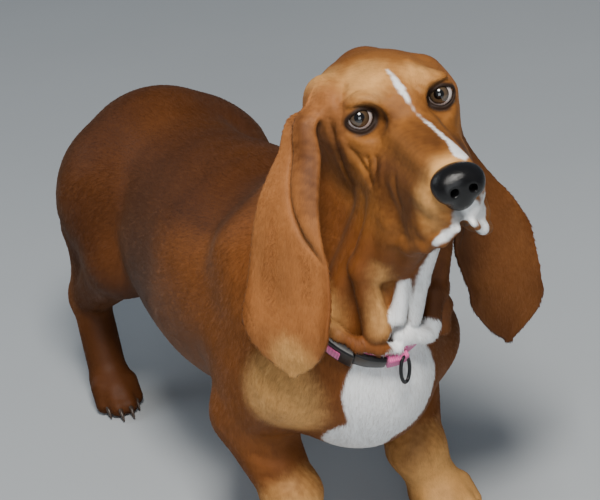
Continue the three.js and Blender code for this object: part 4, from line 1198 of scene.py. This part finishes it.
def coatPieces(material):
    root, corners, up, side, uv, shade = growCoat()
    found = {name: value(root) for name, value in masks.items()}
    patch = fur["bakePatch"] * np.array([(-1, -1), (1, -1), (0, 0), (0, 1)])
    order = np.argsort(root[:, 1])
    pieces = np.array_split(order, math.ceil(len(order) / fur["perPiece"]))
    for n, rows in enumerate(pieces):
        count = len(rows)
        base = np.arange(count)[:, None, None] * 4
        faces = (np.array([[0, 2, 3], [2, 1, 3], [1, 0, 3]])[None] + base).reshape(-1, 3)
        piece = meshObject(f"coatTufts{n + 1}", corners[rows].reshape(-1, 3), faces, material)
        uvs = piece.data.uv_layers.new(name="OFBake")
        perCorner = (uv[rows][:, None] + patch[None]).reshape(-1, 2)[faces.ravel()]
        uvs.data.foreach_set("uv", np.clip(perCorner, 0, 1).astype(np.float32).ravel())
        for name, values in found.items():
            addMask(piece, name, np.repeat(values[rows], 4))
        addMask(piece, "shade", np.repeat(shade[rows], 4))
        lean = fur["tilt"] * np.array([1, -1, 0, 0])
        normals = unit(up[rows][:, None] + side[rows][:, None] * lean[None, :, None]).reshape(-1, 3)
        piece.data.normals_split_custom_set_from_vertices(normals.tolist())
        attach(piece, "root")
    print("coat:", len(root), "tufts in", len(pieces), "pieces")


coatPieces(coatMaterial())

# The eyeballs, with the iris and the clear bulge over it
gaze = {"right": (-0.41, -0.86, 0.33), "left": (-0.46, -0.85, 0.29), "iris": 9.7, "bulge": 1.0}


def eyeMaterial():
    shader = Shader("houndEye")
    out = shader.mask("fromPupil")
    around = shader.node("ShaderNodeCombineXYZ", {}, {"X": shader.mask("spoke") * 9.0, "Y": out * 1.5})
    spoke = shader.noise(1.0, 3.0, 0.6, at=around)
    stops = [(0.0, (0.050, 0.030, 0.017)), (0.6, (0.075, 0.048, 0.026)), (1.0, (0.030, 0.019, 0.012))]
    iris = shader.node("ShaderNodeValToRGB", {"stops": stops}, {"Fac": out}, output="Color")
    iris = shader.blend((spoke - 0.4).clamped() * 0.9, iris, (0.17, 0.115, 0.065))
    white = shader.blend(shader.noise(260.0, 3.0), (0.80, 0.74, 0.70), (0.62, 0.45, 0.40))
    edge = shader.eased(out, 0.78, 1.0, 0.0, 0.85)
    beyond = shader.eased(out, 0.94, 1.06, 0.0, 1.0)
    pupil = shader.eased(out, 0.40, 0.50, 1.0, 0.0)
    colour = shader.blend(edge, iris, (0.012, 0.008, 0.006))
    colour = shader.blend(beyond, colour, white)
    colour = shader.blend(pupil, colour, (0.002, 0.002, 0.002))
    return shader.set(Base_Color=colour, Roughness=0.12, Specular_IOR_Level=0.5, Coat_Weight=1.0,
                      Coat_Roughness=0.02)


def wall(count, size, closed=False):
    # four-sided faces between each ring of points and the next
    n, i = np.meshgrid(np.arange(count if closed else count - 1), np.arange(size), indexing="ij")
    m, j = (n + 1) % count, (i + 1) % size
    return np.stack([n * size + i, n * size + j, m * size + j, m * size + i], -1).reshape(-1, 4)


def makeEye(name, s, material, rings=48, sides=64):
    axis = unit(gaze[name])
    first = unit(np.cross(axis, (0, 0, 1)))
    second = np.cross(axis, first)
    down = np.linspace(0, math.pi, rings)
    around = np.linspace(0, 2 * math.pi, sides, endpoint=False)
    d, a = np.meshgrid(down, around, indexing="ij")
    lift = gaze["bulge"] * np.clip(1 - (d * eye["radius"] / (gaze["iris"] * 1.12)) ** 2, 0, 1) ** 1.4
    radius = eye["radius"] - eye["clearance"] + lift
    sideways = np.cos(a)[..., None] * first + np.sin(a)[..., None] * second
    spots = np.cos(d)[..., None] * axis + np.sin(d)[..., None] * sideways
    points = (eyeCentre(s) + spots * radius[..., None]).reshape(-1, 3)
    made = meshObject("eyeball" + name.title(), points, wall(rings, sides)[:, [0, 3, 2, 1]], material)
    addMask(made, "fromPupil", (d * eye["radius"] / gaze["iris"]).ravel())
    addMask(made, "spoke", np.sin(a * 7).ravel() + np.cos(a * 3).ravel() * 2)
    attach(made, "root")
    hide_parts("eye_" + name)


eyeFinish = eyeMaterial()
makeEye("right", -1, eyeFinish)
makeEye("left", 1, eyeFinish)
print("eyes set in")

# Nose, with its nostrils and the groove down its front
nosePad = {
    "cell": 1.1,
    "nostril": [(5.5, -142, -36), (9, -131, -37), (13, -121, -37), (20, -116, -37)],
    "nostrilRadii": [3.4, 3.2, 2.4, 1.2],
}
noseHollows = [
    *both(lambda s: headChain([across(s, stop) for stop in nosePad["nostril"]],
                              nosePad["nostrilRadii"], 1.6)),
    headLimb((0, -140, -30), (0, -130, -62), 0.6, 1.0, 2.4),
]


def noseDistance(points):
    return carved(blended(noseForms, points), noseHollows, points, everywhere)


def noseMaterial():
    shader = Shader("noseLeather")
    cells = shader.node("ShaderNodeTexVoronoi", {"feature": "DISTANCE_TO_EDGE"},
                        {"Vector": shader.where(), "Scale": 780.0})
    wet = shader.noise(90.0, 3.0)
    colour = shader.blend(wet, (0.003, 0.003, 0.0035), (0.008, 0.0075, 0.008))
    return shader.set(Base_Color=colour, Roughness=(wet * 0.2 + 0.14), Specular_IOR_Level=0.35,
                      Normal=shader.bump((cells * 5.0).clamped(), 0.2, 0.0004))


def makeNose():
    lows = np.min([form.low for form in noseForms], axis=0) - 4
    highs = np.max([form.high for form in noseForms], axis=0) + 4
    cell = nosePad["cell"] * coarser
    axes = [np.arange(low, high, cell) for low, high in zip(lows, highs)]
    points, quads = skinOf(noseDistance, noseDistance, axes)
    made = meshObject("nosePad", ontoSkin(noseDistance, points, 0.5), quads, noseMaterial())
    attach(made, "root")
    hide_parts("nose")


makeNose()


# Tubes along a path, for claws and the ring
def caps(count, size):
    return [list(range(size))[::-1], list(range((count - 1) * size, count * size))]


def tube(path, radii, sides, closed=False):
    path = np.array(path, float)
    count = len(path)
    ahead = unit(np.roll(path, -1, 0) - np.roll(path, 1, 0)) if closed else unit(np.gradient(path, axis=0))
    normal = unit(np.cross(ahead[0], (0.3, 0.2, 0.9)))
    rings = []
    for n in range(count):
        normal = unit(normal - (normal @ ahead[n]) * ahead[n])
        other = np.cross(ahead[n], normal)
        turn = np.arange(sides) / sides * 2 * math.pi
        rings.append(path[n] + radii[n] * (np.cos(turn)[:, None] * normal + np.sin(turn)[:, None] * other))
    faces = wall(count, sides, closed).tolist()
    if not closed:
        faces += caps(count, sides)
    return np.concatenate(rings), faces


def gathered(parts):
    points, faces, start = [], [], 0
    for p, f in parts:
        points.append(p)
        faces += [tuple(i + start for i in face) for face in f]
        start += len(p)
    return np.concatenate(points), faces


def clawMaterial():
    shader = Shader("clawHorn")
    grain = shader.noise(300.0, 3.0)
    colour = shader.blend(grain, (0.020, 0.013, 0.010), (0.085, 0.055, 0.038))
    return shader.set(Base_Color=colour, Roughness=0.35)


claw = {"stops": ((19, 12), (8, 11), (2, 6), (0, 1.6)), "root": 3.6, "thinning": 2.7, "stations": 14,
        "sides": 14}


def makeClaws():
    parts = []
    for paw in (frontPaw, hindPaw):
        for s in (-1, 1):
            for out, ahead in toes["rows"]:
                side = out * (paw["width"] / 2 - toes["radius"])
                tip = ahead * (paw["length"] / 2) + toes["claw"]
                stops = [pawPoint(paw, s, side, tip - back, z) for back, z in claw["stops"]]
                path, _ = smoothLine(stops, claw["stations"])
                radii = claw["root"] - claw["thinning"] * np.linspace(0, 1, claw["stations"]) ** 1.2
                parts.append(tube(path, radii, claw["sides"]))
    points, faces = gathered(parts)
    made = meshObject("claws", points, faces, clawMaterial())
    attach(made, "root")


makeClaws()
print("nose and claws made")

# Collar: webbing band, buckle with its button, slide, loop and lead ring
strap = {"pink": (0.78, 0.13, 0.36), "deep": (0.50, 0.06, 0.22)}
fittings = {
    "buckle": {"ends": (-47.5, -23.4), "rise": (0.3, 9), "tall": (27, 27), "rounding": 2.0, "bevel": 0.7},
    "buckleButton": {"ends": (-41, -30.5), "rise": (9.1, 10.6), "tall": (14, 14), "rounding": 0.8,
                     "bevel": 0.5},
    "slide": {"ends": (-22.9, -6.6), "rise": (0.3, 5.5), "tall": (24, 16), "rounding": 2.0, "bevel": 0.7},
    "ringLoop": {"ends": (-5.8, 5.2), "rise": (0.3, 7), "tall": (15, 15), "rounding": 2.0, "bevel": 0.7},
}
leadRing = {"width": 18, "length": 30, "wire": 3.4, "bearing": 2.6, "rise": 6.4, "lift": 5.0}


def webbingMaterial():
    shader = Shader("pinkWebbing")
    along, over = shader.mask("along"), shader.mask("over")
    ribs = (along * 3.6).maths("SINE")
    threads = (over * 5.2 + ribs * 1.2).maths("SINE")
    fuzz = shader.noise(1600.0, 3.0, 0.7)
    height = ribs * 0.35 + threads * 0.25 + fuzz * 0.4 + 0.5
    # deeper pink where the weave lies low: painted shade in its hollows, along with the random fuzz
    colour = shader.blend((height * 0.8).clamped(), strap["deep"], strap["pink"])
    return shader.set(Base_Color=colour, Roughness=0.72, Sheen_Weight=0.25,
                      Normal=shader.bump(height, 0.6, 0.0004))


def plasticMaterial():
    shader = Shader("blackPlastic")
    grain = shader.noise(1400.0, 2.0)
    return shader.set(Base_Color=(0.006, 0.006, 0.007), Roughness=grain * 0.1 + 0.3, Specular_IOR_Level=0.35,
                      Normal=shader.bump(grain, 0.12, 0.0002))


def ringMaterial():
    shader = Shader("blackRing")
    grain = shader.noise(900.0, 2.0)
    return shader.set(Base_Color=(0.010, 0.010, 0.011), Roughness=grain * 0.15 + 0.22, Metallic=0.3)


def ontoBand(bearing, rise, up):
    return collarPoint(np.array(bearing), np.array(rise), np.array(up))


def bandObject(name, points, faces, material, along, over):
    made = meshObject(name, np.array(points), faces, material)
    addMask(made, "along", along)
    addMask(made, "over", over)
    return made


def makeFitting(name, node, material, steps=24):
    # a piece that lies on the band from one bearing to another, with its long edges rounded off
    size = fittings[name]
    low, high = size["rise"]
    corner = min(size["rounding"], (high - low) * 0.6)
    quarter = [(corner * math.sin(a), corner * math.cos(a)) for a in np.linspace(0, math.pi / 2, 6)]
    points, along, over = [], [], []
    for t in np.arange(steps + 1) / steps:
        bearing = (size["ends"][0] + t * (size["ends"][1] - size["ends"][0])) * degree
        base = float(collarRadius(bearing)) + collar["thickness"]
        half = (size["tall"][0] + t * (size["tall"][1] - size["tall"][0])) / 2
        ring = [(low, -half)]
        ring += [(high - corner + p, -half + corner - q) for p, q in quarter]
        ring += [(high - corner + q, half - corner + p) for p, q in quarter]
        ring += [(low, half)]
        for rise, up in ring:
            points.append(ontoBand(bearing, base + rise, up))
            along.append(bearing * base)
            over.append(up)
    faces = wall(steps + 1, len(ring)).tolist() + caps(steps + 1, len(ring))
    made = bandObject(name, points, faces, material, along, over)
    edges = made.modifiers.new("softEdges", "BEVEL")
    edges.width, edges.segments = size["bevel"] * place["scale"], 3
    edges.limit_method, edges.angle_limit = "ANGLE", 0.9
    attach(made, "root")
    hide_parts(node)


def makeBand(material, stations=220):
    # cross-section of the webbing, with its woven edges a little thicker
    half, thick = collar["width"] / 2, collar["thickness"]
    inner = [(0.5, -half), (0, -half + 0.7), (0.15, -half + 2.2), (0.15, 0), (0.15, half - 2.2),
             (0, half - 0.7), (0.5, half)]
    outer = [(thick - 0.5, half), (thick, half - 0.7), (thick - 0.3, half - 2.2), (thick - 0.3, 0),
             (thick - 0.3, -half + 2.2), (thick, -half + 0.7), (thick - 0.5, -half)]
    points, along, over = [], [], []
    run = 0
    for n in range(stations):
        bearing = n / stations * 2 * math.pi
        base = float(collarRadius(bearing))
        run += base * 2 * math.pi / stations
        for rise, up in inner + outer:
            points.append(ontoBand(bearing, base + rise, up))
            along.append(run)
            over.append(up)
    faces = wall(stations, len(inner + outer), True)[:, ::-1].tolist()
    made = bandObject("collarBand", points, faces, material, along, over)
    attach(made, "root")
    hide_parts("collar_band")


def makeRing(material, sides=64):
    bearing = leadRing["bearing"] * degree
    hung = ontoBand(bearing, float(collarRadius(bearing)) + leadRing["rise"], leadRing["lift"])
    centre = hung - np.array([0, 0, (leadRing["length"] - leadRing["wire"]) / 2])
    wide, long = unit(np.array([0.86, 0.5, 0.0])), unit(np.array([0, -0.1, 1.0]))
    turn = np.arange(sides) / sides * 2 * math.pi
    wire = leadRing["wire"]
    path = (centre + np.cos(turn)[:, None] * wide * (leadRing["width"] - wire) / 2
            + np.sin(turn)[:, None] * long * (leadRing["length"] - wire) / 2)
    points, faces = tube(path, np.full(sides, wire / 2), 20, True)
    made = meshObject("leadRing", points, faces, material)
    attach(made, "root")
    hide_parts("collar_ring")


webbing, plastic = webbingMaterial(), plasticMaterial()
makeBand(webbing)
makeFitting("buckle", "collar_buckle", plastic)
makeFitting("buckleButton", "collar_buckle_button", webbing)
makeFitting("slide", "collar_slide", plastic)
makeFitting("ringLoop", "collar_loop", webbing)
makeRing(ringMaterial())
print("collar made")

# Floor, light and camera
studio = {"floor": (0.54, 0.575, 0.60), "floorHalf": 6000, "floorDrop": 0.2, "world": (0.58, 0.65, 0.74),
          "worldStrength": 0.26}
lamps = {
    "keyLamp": {"at": (-0.5, -1.6, 2.45), "to": (0.0, -0.25, 0.32), "size": 0.7, "watts": 86,
                "colour": (1.0, 0.96, 0.9)},
    "frontLamp": {"at": (-0.9, -2.4, 0.9), "to": (0.0, -0.3, 0.3), "size": 1.0, "watts": 12,
                  "colour": (0.93, 0.97, 1.0)},
    "backLamp": {"at": (-1.5, 1.5, 1.6), "to": (0.0, 0.1, 0.3), "size": 1.2, "watts": 10,
                 "colour": (0.9, 0.95, 1.0)},
}


def aimed(at, to):
    forward = unit(np.subtract(to, at))
    right = unit(np.cross(forward, (0, 0, 1)))
    return Matrix(np.stack([right, np.cross(right, forward), -forward], 1).tolist()).to_4x4()


def makeStudio():
    shader = Shader("paleFloor")
    darker = tuple(c * 0.9 for c in studio["floor"])
    shader.set(Base_Color=shader.blend(shader.noise(3.0, 4.0), studio["floor"], darker), Roughness=0.6)
    half, low = studio["floorHalf"], -studio["floorDrop"]
    corners = [(-half, -half, low), (half, -half, low), (half, half, low), (-half, half, low)]
    floor = meshObject("floor", corners, [(0, 1, 2, 3)], shader.material, False)
    world = bpy.data.worlds.new("studioAir")
    bpy.context.scene.world = world
    world.use_nodes = True
    background = world.node_tree.nodes["Background"]
    background.inputs["Color"].default_value = (*studio["world"], 1)
    background.inputs["Strength"].default_value = studio["worldStrength"]
    for name, lamp in lamps.items():
        light = bpy.data.lights.new(name, "AREA")
        light.energy, light.size, light.color = lamp["watts"], lamp["size"], lamp["colour"]
        made = bpy.data.objects.new(name, light)
        made.matrix_world = Matrix.Translation(lamp["at"]) @ aimed(lamp["at"], lamp["to"])
        bpy.context.scene.collection.objects.link(made)


view = {"azimuth": -22.83, "elevation": 24.81, "roll": 8.61, "distance": 2.186,
        "target": (18.3, -100, 267.1), "lens": 135.66, "sensor": 36}


def makeCamera():
    a, e, r = (view[name] * degree for name in ("azimuth", "elevation", "roll"))
    back = np.array([math.sin(a) * math.cos(e), -math.cos(a) * math.cos(e), math.sin(e)])
    right = np.array([math.cos(a), math.sin(a), 0])
    up = np.cross(back, right)
    axes = np.stack([right * math.cos(r) - up * math.sin(r), right * math.sin(r) + up * math.cos(r), back], 1)
    lens = bpy.data.cameras.new("photoCamera")
    lens.lens, lens.sensor_width = view["lens"], view["sensor"]
    made = bpy.data.objects.new("photoCamera", lens)
    at = placed(view["target"]) + back * view["distance"]
    made.matrix_world = Matrix.Translation(at.tolist()) @ Matrix(axes.tolist()).to_4x4()
    bpy.context.scene.collection.objects.link(made)
    bpy.context.scene.camera = made


makeStudio()
makeCamera()
print("studio and camera set")
